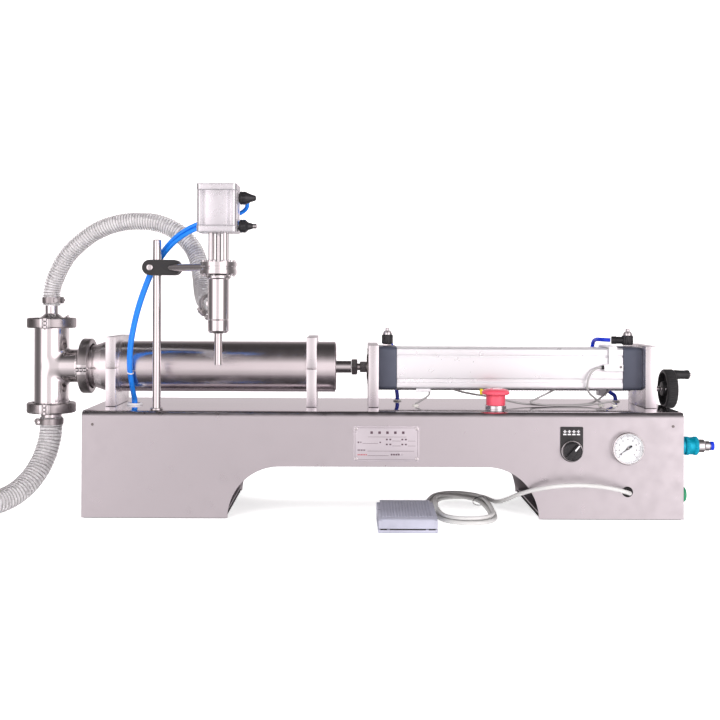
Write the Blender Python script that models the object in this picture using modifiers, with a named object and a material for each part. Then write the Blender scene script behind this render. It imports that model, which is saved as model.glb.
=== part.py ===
"""Bench-top piston liquid filler with a foot switch, as separate solids.

A folded stainless housing carries a dosing cylinder in two split cradles and, on the same
axis, a square air cylinder between two plates. A check-valve tee on the dosing cylinder's
left end draws liquid through the suction hose and sends it through the discharge hose to a
filling valve on a post. Sizes are in millimetres and the builders scale them to metres.
"""

import math

import bmesh
import bpy
from mathutils import Vector

MM = 0.001
GAP = 0.3  # between solids that touch
RUNNING = 0.5  # between solids that turn or slide in each other

# housing
BASE_HALF_X, BASE_HALF_Y = 427.4, 110.0
BASE_TOP, BASE_FOOT = 152.0, 0.8
SHEET = 2.0
BEND_R = 9.0
ARCH_LEFT, ARCH_RIGHT, ARCH_TOP = -220.0, 222.0, 74.0
PAD_H = 3.0

# dosing cylinder, tee and its clamps
AXIS_Z = 209.0
TUBE_R, TUBE_BORE = 38.15, 35.25
TUBE_LEFT, TUBE_RIGHT = -407.0, -68.7
PIPE_R, PIPE_BORE = 25.4, 23.9
NECK_R, NECK_BORE = 31.75, 30.2
BRANCH_JOINT = -445.0
TEE_X, TEE_TOP, TEE_FOOT = -500.3, 274.0, 146.0
FERRULE_R, BRANCH_FERRULE_R = 32.0, 38.5
CLAMP_R, BRANCH_CLAMP_R = 36.5, 41.5
BALL_R = 13.0
SEAT_R = 10.5

# post and filling valve
POST = (-323.6, -95.0)
POST_R, POST_TOP = 6.0, 396.0
VALVE = (-227.8, -160.0)
ARM_Z = 355.5
LEG_SPACING = 9.8  # from the valve's axis to each leg, along X and Y

# air cylinder
BARREL_HALF = 30.5
BARREL_LEFT, BARREL_RIGHT = 23.0, 361.0
CAP_HALF = 32.0
BORE_R = 25.0
ROD_R = 8.0

# stroke adjuster behind the barrel
SCREW_Y, SCREW_Z = 42.0, 174.0
WHEEL_R = 30.3

# controls
ESTOP = (163.6, -84.0)
SELECTOR_X, SELECTOR_Z = 268.0, 98.0
GAUGE_X, GAUGE_Z = 347.2, 102.0
CORD_X, CORD_Z = 347.5, 40.0
SLIDE_VALVE_Y, SLIDE_VALVE_Z = -60.0, 99.0
BUTTON_Y, BUTTON_Z = -70.0, 30.0

# foot switch
SWITCH_LOW, SWITCH_HIGH = (-8.6, -206.0), (71.0, -106.0)
PEDAL_HINGE_Y, PEDAL_HINGE_Z = -112.0, 16.0

# hoses, tubes and the cord
DISCHARGE_D, SUCTION_D, AIR_TUBE_D, CORD_D = 26.0, 34.0, 6.0, 6.0
PAIR_HALF = 3.3  # from the middle of a pair of air tubes to each
SUCTION_BEND_R, SUCTION_LOOP_R = 106.2, 190.0
SUCTION_HEADING = math.radians(236.6)
SUCTION_LOOP_TURN = math.radians(215.0)
HANK_X, HANK_Y = 119.7, -52.5
HANK_HALF_X, HANK_HALF_Y, HANK_WIDTH, HANK_H = 46.2, 102.5, 18.0, 13.0

# the middle of the footprint, which the model's origin stands under
ORIGIN_X = (TEE_X - CLAMP_R + 486.0) / 2
ORIGIN_Y = (SWITCH_LOW[1] + BASE_HALF_Y) / 2

ALONG = {
    "Z": (0.0, 0.0, 0.0),
    "X": (0.0, math.pi / 2, 0.0),
    "FRONT": (math.pi / 2, 0.0, 0.0),
}
OUTLINE_IN = {
    "XY": (0.0, 0.0, 0.0),
    "XZ": (math.pi / 2, 0.0, 0.0),
    "YZ": (math.pi / 2, 0.0, math.pi / 2),
}

LOOKS = {
    "satin_steel": ((0.70, 0.68, 0.71), 0.34, 1.0),
    "polished_steel": ((0.74, 0.72, 0.73), 0.14, 1.0),
    "machined_steel": ((0.80, 0.79, 0.79), 0.25, 1.0),
    "anodised_aluminium": ((0.86, 0.86, 0.88), 0.30, 0.9),
    "slate_cap": ((0.26, 0.26, 0.34), 0.45, 0.4),
    "black_plastic": ((0.03, 0.03, 0.03), 0.42, 0.0),
    "black_rubber": ((0.02, 0.02, 0.02), 0.75, 0.0),
    "clear_hose": ((0.78, 0.78, 0.77), 0.30, 0.0),
    "azure_tube": ((0.04, 0.33, 0.90), 0.28, 0.0),
    "royal_tube": ((0.01, 0.06, 0.62), 0.30, 0.0),
    "red_plastic": ((0.72, 0.08, 0.12), 0.35, 0.0),
    "green_plastic": ((0.02, 0.33, 0.16), 0.35, 0.0),
    "cyan_metal": ((0.02, 0.44, 0.62), 0.28, 0.6),
    "white_plastic": ((0.85, 0.85, 0.86), 0.40, 0.0),
    "grey_plastic": ((0.42, 0.47, 0.55), 0.50, 0.0),
    "cord_grey": ((0.72, 0.72, 0.71), 0.45, 0.0),
    "seal_white": ((0.88, 0.87, 0.83), 0.50, 0.0),
}


def clear_scene():
    for obj in list(bpy.data.objects):
        bpy.data.objects.remove(obj, do_unlink=True)


def new_collection(name):
    collection = bpy.data.collections.new(name)
    bpy.context.scene.collection.children.link(collection)
    return collection


def make_looks():
    made = {}
    for name, (colour, roughness, metallic) in LOOKS.items():
        made[name] = bpy.data.materials.new(name)
        made[name].use_nodes = True
        shader = made[name].node_tree.nodes["Principled BSDF"]
        shader.inputs["Base Color"].default_value = (*colour, 1.0)
        shader.inputs["Roughness"].default_value = roughness
        shader.inputs["Metallic"].default_value = metallic
    return made


clear_scene()
PARTS = new_collection("piston_liquid_filler")
CUTTERS = new_collection("cutters")
MATERIALS = make_looks()
ROOT = bpy.data.objects.new("filler_origin", None)
ROOT.location = (-ORIGIN_X * MM, -ORIGIN_Y * MM, 0.0)
PARTS.objects.link(ROOT)


def add(name, data, look):
    """A new object under the root; without a look it is a cutter or a piece to be joined."""
    obj = bpy.data.objects.new(name, data)
    if look:
        PARTS.objects.link(obj)
        data.materials.append(MATERIALS[look])
    else:
        CUTTERS.objects.link(obj)
        obj.hide_render = True
        obj.display_type = "WIRE"
    obj.parent = ROOT
    return obj


def boolean(obj, operation, tools):
    for tool in tools:
        step = obj.modifiers.new(tool.name, "BOOLEAN")
        step.operation = operation
        step.solver = "EXACT"
        step.object = tool
    return obj


def cut(obj, *tools):
    return boolean(obj, "DIFFERENCE", tools)


def join(obj, *tools):
    return boolean(obj, "UNION", tools)


def bevel(obj, width, segments=2):
    step = obj.modifiers.new("Edges", "BEVEL")
    step.width = width * MM
    step.segments = segments
    step.limit_method = "ANGLE"
    step.angle_limit = math.radians(40.0)
    return obj


def box(name, low, high, look=None):
    low, high = Vector(low) * MM, Vector(high) * MM
    bm = bmesh.new()
    bmesh.ops.create_cube(bm, size=1.0)
    bmesh.ops.scale(bm, vec=high - low, verts=bm.verts)
    mesh = bpy.data.meshes.new(name)
    bm.to_mesh(mesh)
    bm.free()
    obj = add(name, mesh, look)
    obj.location = (low + high) / 2
    return obj


def turned(name, profile, place, look=None, along="Z", steps=18, ring=False):
    """Turns (radius, height) points, listed down the outer side, about an axis through place."""
    count = len(profile)
    edges = [(i, i + 1) for i in range(count - 1)]
    if ring:
        edges.append((count - 1, 0))
    mesh = bpy.data.meshes.new(name)
    mesh.from_pydata([(r * MM, 0.0, h * MM) for r, h in profile], edges, [])
    obj = add(name, mesh, look)
    obj.location = Vector(place) * MM
    if isinstance(along, str):
        obj.rotation_euler = ALONG[along]
    else:
        obj.rotation_euler = Vector(along).to_track_quat("Z", "Y").to_euler()
    screw = obj.modifiers.new("Turn", "SCREW")
    screw.steps = screw.render_steps = steps
    screw.use_merge_vertices = True
    screw.merge_threshold = 0.00001
    screw.use_smooth_shade = True
    return obj


def rod(name, radius, low, high, place, look=None, along="Z", steps=16, chamfer=0.0):
    """A round bar from height low to height high on its axis."""
    if chamfer:
        inner = radius - chamfer
        side = [(inner, high), (radius, high - chamfer), (radius, low + chamfer), (inner, low)]
    else:
        side = [(radius, high), (radius, low)]
    return turned(name, [(0.0, high), *side, (0.0, low)], place, look, along, steps)


def arc(centre, radius, start, end, steps):
    """Points along an arc, in degrees, both ends included."""
    angles = [math.radians(start + (end - start) * i / steps) for i in range(steps + 1)]
    return [(centre[0] + radius * math.cos(a), centre[1] + radius * math.sin(a)) for a in angles]


def plate(name, outlines, place, thickness, look=None, plane="XY"):
    """Closed outlines filled and extruded equally to both sides of place."""
    curve = bpy.data.curves.new(name, "CURVE")
    curve.dimensions = "2D"
    curve.fill_mode = "BOTH"
    curve.extrude = thickness / 2 * MM
    for outline in outlines:
        spline = curve.splines.new("POLY")
        spline.points.add(len(outline) - 1)
        for point, (x, y) in zip(spline.points, outline):
            point.co = (x * MM, y * MM, 0.0, 1.0)
        spline.use_cyclic_u = True
    drawn = bpy.data.objects.new(name + "_drawn", curve)
    PARTS.objects.link(drawn)
    evaluated = drawn.evaluated_get(bpy.context.evaluated_depsgraph_get())
    mesh = bpy.data.meshes.new_from_object(evaluated)
    bpy.data.objects.remove(drawn, do_unlink=True)
    bm = bmesh.new()
    bm.from_mesh(mesh)
    bmesh.ops.remove_doubles(bm, verts=bm.verts, dist=0.00001)
    bmesh.ops.recalc_face_normals(bm, faces=bm.faces)
    bm.to_mesh(mesh)
    bm.free()
    mesh.materials.clear()
    mesh.name = name
    obj = add(name, mesh, look)
    obj.location = Vector(place) * MM
    obj.rotation_euler = OUTLINE_IN[plane]
    return obj


def smooth_route(route, step):
    """Even points on a smooth curve through the route, whose first and last stretches are straight."""
    knots = [Vector(p) for p in route]
    fine = []
    for a, b, c, d in zip(knots, knots[1:], knots[2:], knots[3:]):
        for i in range(16):
            t = i / 16
            fine.append(0.5 * (2 * b + (c - a) * t + (2 * a - 5 * b + 4 * c - d) * t * t
                               + (3 * b - 3 * c + d - a) * t ** 3))
    fine.append(knots[-2])
    lengths = [0.0]
    for a, b in zip(fine, fine[1:]):
        lengths.append(lengths[-1] + (b - a).length)
    count = max(2, round(lengths[-1] / step))
    points, at = [knots[0]], 0
    for i in range(count + 1):
        target = lengths[-1] * i / count
        while at < len(fine) - 2 and lengths[at + 1] < target:
            at += 1
        share = (target - lengths[at]) / (lengths[at + 1] - lengths[at])
        points.append(fine[at].lerp(fine[at + 1], share))
    return [*points, knots[-1]]


def tube(name, route, diameter, look, step, sides=2):
    """A solid round tube along a smooth curve through the route."""
    points = smooth_route(route, step)
    curve = bpy.data.curves.new(name, "CURVE")
    curve.dimensions = "3D"
    curve.bevel_depth = diameter / 2 * MM
    curve.bevel_resolution = sides
    curve.use_fill_caps = True
    spline = curve.splines.new("POLY")
    spline.points.add(len(points) - 1)
    for point, co in zip(spline.points, points):
        point.co = (*(co * MM), 1.0)
    return add(name, curve, look)


def housing():
    """The folded sheet, its two end panels and the rubber under each leg."""
    inner_r = BEND_R - SHEET
    inner_y = BASE_HALF_Y - SHEET
    bend_y, bend_z = BASE_HALF_Y - BEND_R, BASE_TOP - BEND_R
    section = [(-BASE_HALF_Y, BASE_FOOT)]
    section += arc((-bend_y, bend_z), BEND_R, 180, 90, 5)
    section += arc((bend_y, bend_z), BEND_R, 90, 0, 5)
    section += [(BASE_HALF_Y, BASE_FOOT), (inner_y, BASE_FOOT)]
    section += arc((bend_y, bend_z), inner_r, 0, 90, 5)
    section += arc((-bend_y, bend_z), inner_r, 90, 180, 5)
    section += [(-inner_y, BASE_FOOT)]
    sheet = plate("base_housing", [section], (0, 0, 0), 2 * BASE_HALF_X, "satin_steel", "YZ")
    arch = [(ARCH_LEFT, -5.0)]
    arch += arc((ARCH_LEFT + ARCH_TOP, 0.0), ARCH_TOP, 180, 90, 12)
    arch += arc((ARCH_RIGHT - ARCH_TOP, 0.0), ARCH_TOP, 90, 0, 12)
    arch += [(ARCH_RIGHT, -5.0)]
    front = (0, -BASE_HALF_Y, 0)
    cut(
        sheet,
        plate("arch_cut", [arch], (0, 0, 0), 2.2 * BASE_HALF_Y, None, "XZ"),
        rod("estop_hole", 11.6, BASE_TOP - 10, BASE_TOP + 10, (*ESTOP, 0), steps=20),
        rod("selector_hole", 7.6, -6, 6, (SELECTOR_X, front[1], SELECTOR_Z), along="FRONT", steps=16),
        rod("gauge_hole", 20.6, -6, 6, (GAUGE_X, front[1], GAUGE_Z), along="FRONT"),
        rod("cord_hole", 5.4, -6, 6, (CORD_X, front[1], CORD_Z), along="FRONT", steps=12),
    )
    for side, sign in (("left", -1), ("right", 1)):
        end_panel(side, sign, inner_y, inner_r, bend_y, bend_z)
        arch_end = ARCH_LEFT if sign < 0 else ARCH_RIGHT
        xs = sorted((sign * (BASE_HALF_X - 3.0), arch_end - sign * -3.0))
        box(f"foot_pad_{side}", (xs[0], -inner_y + 1, 0.0), (xs[1], inner_y - 1, PAD_H), "black_rubber")


def end_panel(side, sign, inner_y, inner_r, bend_y, bend_z):
    """An end plate that fits inside the folded sheet, with the leg's floor folded from it."""
    y, r = inner_y - GAP, inner_r - GAP
    floor_z = PAD_H + GAP
    outline = [(-y, floor_z)]
    outline += arc((-bend_y, bend_z), r, 180, 90, 4)
    outline += arc((bend_y, bend_z), r, 90, 0, 4)
    outline += [(y, floor_z)]
    x = sign * (BASE_HALF_X - 1.0 - SHEET / 2)
    panel = plate(f"{side}_end_panel", [outline], (x, 0, 0), SHEET, "satin_steel", "YZ")
    arch_end = ARCH_LEFT if sign < 0 else ARCH_RIGHT
    xs = sorted((x, arch_end + sign * 4.0))
    join(panel, box(f"{side}_leg_floor", (xs[0], -y, floor_z), (xs[1], y, floor_z + SHEET)))
    if sign > 0:
        cut(
            panel,
            rod("slide_valve_hole", 10.5, x - 9, x + 9, (0, SLIDE_VALVE_Y, SLIDE_VALVE_Z), along="X"),
            rod("button_hole", 8.5, x - 9, x + 9, (0, BUTTON_Y, BUTTON_Z), along="X"),
        )


def dosing_cylinder():
    """The polished tube with its welded reducing head and ferrule, and the two split cradles."""
    joint = BRANCH_JOINT + GAP / 2
    turned(
        "dosing_cylinder",
        [
            (TUBE_R, TUBE_RIGHT), (TUBE_R, TUBE_LEFT - 3), (TUBE_R - 1.5, TUBE_LEFT - 12),
            (NECK_R, TUBE_LEFT - 26), (NECK_R, joint + 6), (BRANCH_FERRULE_R, joint + 3),
            (BRANCH_FERRULE_R, joint), (NECK_BORE, joint), (NECK_BORE, TUBE_LEFT - 25),
            (TUBE_BORE, TUBE_LEFT - 10), (TUBE_BORE, TUBE_RIGHT),
        ],
        (0, 0, AXIS_Z), "polished_steel", "X", 40, ring=True,
    )
    bore = TUBE_R + GAP
    for name, left in (("cradle_left", -407.5), ("cradle_right", -111.0)):
        middle = left + 7.5
        block = box(name, (left, -50, BASE_TOP + GAP), (left + 15, 50, 255), "machined_steel")
        slot_end = -math.sqrt(bore ** 2 - 1) + 1
        cut(
            block,
            rod(name + "_bore", bore, middle - 20, middle + 20, (0, 0, AXIS_Z), along="X", steps=40),
            box(name + "_slit", (left - 5, -60, AXIS_Z - 0.8), (left + 20, slot_end, AXIS_Z + 0.8)),
        )


def ring_clamp(name, radius, flange_r, pipe_r, joint, place, along, lug_low, lug_high):
    """A split ring whose groove holds a pair of ferrules, with the lug for its bolt."""
    half, groove = 7.6, 3.6
    clamp = turned(
        name,
        [
            (radius - 1.5, joint + half), (radius, joint + half - 1.5),
            (radius, joint - half + 1.5), (radius - 1.5, joint - half),
            (pipe_r + 2.2, joint - half), (flange_r + 0.6, joint - groove),
            (flange_r + 0.6, joint + groove), (pipe_r + 2.2, joint + half),
        ],
        place, "machined_steel", along, 26, ring=True,
    )
    return join(clamp, box(name + "_lug", lug_low, lug_high))


def valve_tee():
    """The welded tee with an upper seat, the two adapters, their clamps and the check balls."""
    place = (TEE_X, 0, 0)
    seat = TEE_TOP - 24
    tee = turned(
        "tee_body",
        [
            (0, TEE_TOP), (FERRULE_R, TEE_TOP), (FERRULE_R, TEE_TOP - 2.6), (PIPE_R, TEE_TOP - 6.4),
            (PIPE_R, TEE_FOOT + 6.4), (FERRULE_R, TEE_FOOT + 2.6), (FERRULE_R, TEE_FOOT), (0, TEE_FOOT),
        ],
        place, "polished_steel", steps=36,
    )
    run_bore = turned(
        "tee_run_bore",
        [
            (0, TEE_TOP + 5), (PIPE_BORE - 2, TEE_TOP + 5), (PIPE_BORE - 2, seat + 12),
            (SEAT_R, seat + 2), (SEAT_R, seat), (PIPE_BORE, seat - 3), (PIPE_BORE, TEE_FOOT - 5),
            (0, TEE_FOOT - 5),
        ],
        place, steps=36,
    )
    end = BRANCH_JOINT - GAP / 2
    branch = turned(
        "tee_branch",
        [
            (0, end), (BRANCH_FERRULE_R, end), (BRANCH_FERRULE_R, end - 3), (NECK_R, end - 6),
            (PIPE_R - 0.3, end - 11), (PIPE_R - 0.3, TEE_X + 3), (0, TEE_X + 3),
        ],
        (0, 0, AXIS_Z), along="X", steps=34,
    )
    branch_bore = turned(
        "tee_branch_bore",
        [
            (0, end + 5), (NECK_BORE, end + 5), (NECK_BORE, end - 5), (PIPE_BORE - 1.5, end - 11),
            (PIPE_BORE - 1.5, TEE_X + 5), (0, TEE_X + 5),
        ],
        (0, 0, AXIS_Z), along="X", steps=34,
    )
    join(tee, branch)
    cut(tee, branch_bore, run_bore)

    low = TEE_TOP + GAP
    turned(
        "outlet_adapter",
        [
            (9.5, low + 25.7), (9.5, low + 14), (20, low + 6), (FERRULE_R, low + 2.6),
            (FERRULE_R, low), (PIPE_BORE - 2, low), (16.5, low + 5), (7.0, low + 14), (7.0, low + 25.7),
        ],
        place, "machined_steel", ring=True,
    )
    high = TEE_FOOT - GAP
    turned(
        "inlet_adapter",
        [
            (11.5, high), (FERRULE_R, high), (FERRULE_R, high - 2.6), (24, high - 7),
            (15.5, high - 10), (15.5, 131.0), (11.5, 131.0),
        ],
        place, "machined_steel", ring=True,
    )
    on_inlet = high + math.sqrt(BALL_R ** 2 - 11.5 ** 2) + RUNNING
    on_seat = seat + 2 + math.sqrt(BALL_R ** 2 - SEAT_R ** 2) + RUNNING
    for name, height in (("suction_ball", on_inlet), ("discharge_ball", on_seat)):
        bm = bmesh.new()
        bmesh.ops.create_uvsphere(bm, u_segments=16, v_segments=9, radius=BALL_R * MM)
        mesh = bpy.data.meshes.new(name)
        bm.to_mesh(mesh)
        bm.free()
        mesh.shade_smooth()
        ball = add(name, mesh, "machined_steel")
        ball.location = Vector((TEE_X, 0, height)) * MM

    for name, joint in (("tri_clamp_top", TEE_TOP + GAP / 2), ("tri_clamp_bottom", TEE_FOOT - GAP / 2)):
        ring_clamp(
            name, CLAMP_R, FERRULE_R, PIPE_R, joint, place, "Z",
            (TEE_X - 8, -CLAMP_R - 7, joint - 6), (TEE_X + 8, -CLAMP_R + 3, joint + 6),
        )
    ring_clamp(
        "tri_clamp_branch", BRANCH_CLAMP_R, BRANCH_FERRULE_R, NECK_R, BRANCH_JOINT,
        (0, 0, AXIS_Z), "X",
        (BRANCH_JOINT - 6, 2, AXIS_Z + BRANCH_CLAMP_R - 1.8),
        (BRANCH_JOINT + 6, 17, AXIS_Z + BRANCH_CLAMP_R + 9),
    )


def filling_valve():
    """The post, the clamp on it and the pneumatic shut-off valve that the clamp's arm holds."""
    rod("post", POST_R, BASE_TOP + GAP, POST_TOP, (*POST, 0), "polished_steel", chamfer=1.0)
    arm_way = Vector((VALVE[0] - POST[0] - 20, VALVE[1] - POST[1] + 8, 0)).normalized()
    arm_start = Vector((POST[0] + 20, POST[1] - 8, ARM_Z))
    arm_length = (Vector((*VALVE, ARM_Z)) - arm_start).length

    body = [(-7, -11)] + arc((-7.5, 0), 11, -90, -270, 8) + [(10, 11), (33, 9), (35, 6), (35, -6), (33, -9)]
    clamp = plate("post_clamp", [body], (POST[0] - 1, POST[1] - 1, ARM_Z + 0.5), 24, "black_plastic", "XZ")
    cut(
        clamp,
        rod("post_clamp_bore", POST_R + GAP, 330, 380, (*POST, 0)),
        rod("post_clamp_socket", 5.25 + GAP, -4, arm_length, arm_start, along=arm_way, steps=16),
    )

    flange = turned(
        "valve_yoke",
        [(25, 362), (25, 343.9), (4.6, 343.9), (4.6, 362)],
        (*VALVE, 0), "machined_steel", steps=24, ring=True,
    )
    arm = rod("yoke_arm", 5.25, 0, arm_length - 14, arm_start, along=arm_way, steps=16)
    legs = []
    for i, (dx, dy) in enumerate(((-1, -1), (1, -1), (-1, 1), (1, 1))):
        leg_at = (VALVE[0] + LEG_SPACING * dx, VALVE[1] + LEG_SPACING * dy, 0)
        legs.append(rod(f"yoke_leg_{i}", 3.0, 350, 402, leg_at, steps=12))
    join(flange, arm, *legs)

    nozzle = turned(
        "nozzle_body",
        [
            (14.5, 343.6), (14.5, 284), (13.9, 283), (14.5, 282), (14.5, 268), (12, 265),
            (5.45, 264), (5.45, 221), (3.6, 221), (3.6, 266), (9.5, 271), (9.5, 338),
            (4.6, 338), (4.6, 343.6),
        ],
        (*VALVE, 0), "polished_steel", ring=True,
    )
    barb_way = Vector((-0.45, 0.893, 0))
    barb_at = (*VALVE, 304.5)
    join(nozzle, rod("nozzle_barb", 8.0, 11, 31.5, barb_at, along=barb_way, steps=16))
    cut(nozzle, rod("nozzle_barb_bore", 5.5, 5, 40, barb_at, along=barb_way, steps=12))

    turned(
        "valve_stem",
        [(0, 407), (3.9, 407), (3.9, 276), (6.5, 275), (6.5, 271.6), (3.0, 267.2), (0, 267.2)],
        (*VALVE, 0), "machined_steel", steps=14,
    )
    actuator = box(
        "valve_actuator",
        (VALVE[0] - 27.35, VALVE[1] - 27.35, 402.3), (VALVE[0] + 27.35, VALVE[1] + 27.35, 468),
        "anodised_aluminium",
    )
    bevel(actuator, 2.5)
    cut(actuator, rod("actuator_bore", 6.0, 395, 424, (*VALVE, 0), steps=14))
    side = VALVE[0] + 27.35 + GAP
    for name, height, reach in (("actuator_fitting_upper", 450, 23.5), ("actuator_fitting_lower", 411.5, 20)):
        turned(
            name,
            [
                (0, side + reach), (4.0, side + reach), (4.0, side + reach - 6), (8.0, side + 9),
                (8.0, side + 2.5), (6.5, side + 2.5), (6.5, side), (0, side),
            ],
            (0, VALVE[1], height), "black_plastic", "X", 14,
        )


def air_cylinder():
    """The square barrel with its end caps and port fittings, between the two mounting plates."""
    centre = (0, 0, AXIS_Z)
    barrel = box(
        "barrel",
        (BARREL_LEFT + GAP, -BARREL_HALF, AXIS_Z - BARREL_HALF),
        (BARREL_RIGHT - GAP, BARREL_HALF, AXIS_Z + BARREL_HALF),
        "anodised_aluminium",
    )
    cut(barrel, rod("barrel_bore", BORE_R, 0, 400, centre, along="X", steps=28))
    for name, low, high in (("front_cap", -3.9, BARREL_LEFT), ("rear_cap", BARREL_RIGHT, 388.9)):
        cap = box(
            name, (low, -CAP_HALF, AXIS_Z - CAP_HALF), (high, CAP_HALF, AXIS_Z + CAP_HALF), "slate_cap"
        )
        bevel(cap, 4.0)
        if name == "front_cap":
            cut(cap, rod("front_cap_bore", ROD_R + RUNNING, -20, 40, centre, along="X"))
    plates = (
        ("front_plate", -19.3, -4.2, -14.3, ROD_R + RUNNING),
        ("rear_plate", 389.2, 405.8, 380, None),
    )
    for name, low, high, screw_from, bore in plates:
        block = box(name, (low, -50, BASE_TOP + GAP), (high, 50, 244), "machined_steel")
        tools = [rod(name + "_screw_bore", 4.7, screw_from, 420, (0, SCREW_Y, SCREW_Z), along="X")]
        if bore:
            tools.append(rod(name + "_bore", bore, low - 9, high + 9, centre, along="X"))
            collar = rod("rod_bush", 19.5, low - 2.0, low + 2, centre, along="X", chamfer=0.6)
            join(block, collar)
        cut(block, *tools)
    for name, x, outlet in (
        ("port_fitting_front", 10.0, (0.12, 1, 0)), ("port_fitting_rear", 375.0, (-1, 0.25, 0)),
    ):
        low = AXIS_Z + CAP_HALF + GAP
        fitting = turned(
            name,
            [
                (0, low + 27), (4.2, low + 27), (4.2, low + 19), (7.0, low + 17), (8.5, low + 13),
                (8.5, low + 2.5), (6.5, low + 2.5), (6.5, low), (0, low),
            ],
            (x, 0, 0), "black_plastic", steps=16,
        )
        elbow = rod(name + "_elbow", 5.5, 0, 24, (x, 0, low + 9.5), along=outlet, steps=12)
        join(fitting, elbow)


def piston_train():
    """What the stroke moves: air piston with its rod and coupling, and the dosing piston."""
    turned(
        "drive_rod",
        [
            (0, 355), (24.4, 355), (24.4, 325), (ROD_R, 325), (ROD_R, -21.8), (9.25, -21.8),
            (9.25, -31.5), (5.5, -31.5), (5.5, -35.5), (13.3, -35.5), (13.3, -44.3), (0, -44.3),
        ],
        (0, 0, AXIS_Z), "machined_steel", "X", 20,
    )
    turned(
        "dosing_piston",
        [
            (0, -44.6), (9.2, -44.6), (9.2, -82), (34.7, -82), (34.7, -88), (33.2, -89),
            (33.2, -93), (34.7, -94), (34.7, -112), (0, -112),
        ],
        (0, 0, AXIS_Z), "seal_white", "X", 28,
    )


def stroke_adjuster():
    """The lead screw, its handwheel and grip, and the carriage that carries the stroke sensor."""
    on_axis = (0, SCREW_Y, SCREW_Z)
    rod("lead_screw", 4.0, -13, 452, on_axis, "machined_steel", "X", 16)
    wheel = turned(
        "handwheel",
        [
            (4.3, 457.5), (WHEEL_R - 2, 457.5), (WHEEL_R, 455.5), (WHEEL_R, 442.7), (WHEEL_R - 2, 440.7),
            (WHEEL_R - 5, 440.7), (WHEEL_R - 6, 448), (12, 448), (12, 439), (4.3, 439),
        ],
        on_axis, "black_plastic", "X", 28, ring=True,
    )
    grip_at = (0, SCREW_Y, SCREW_Z + 22)
    join(wheel, rod("grip_spindle", 3.0, 455, 478, grip_at, along="X", steps=12))
    turned(
        "crank_grip",
        [
            (3.6, 482), (6.4, 482), (7.4, 480.5), (7.0, 470), (7.4, 459.5), (6.4, 458), (3.6, 458),
        ],
        grip_at, "black_plastic", "X", 14, ring=True,
    )
    strap = [
        (-35, 212), (-35, 240.2), (-32, 243.2), (33, 243.2), (36.5, 240), (36.5, 184.5), (51, 184.5),
        (51, 163.5), (31.8, 163.5), (31.8, 240.2), (-31.2, 240.2), (-31.2, 212),
    ]
    carriage = plate("sensor_carriage", [strap], (345, 0, 0), 12, "white_plastic", "YZ")
    join(carriage, box("stroke_sensor", (331, -38.5, 206), (359.5, -31.0, 217)))
    cut(carriage, rod("carriage_bore", 4.7, 330, 360, on_axis, along="X", steps=16))


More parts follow.
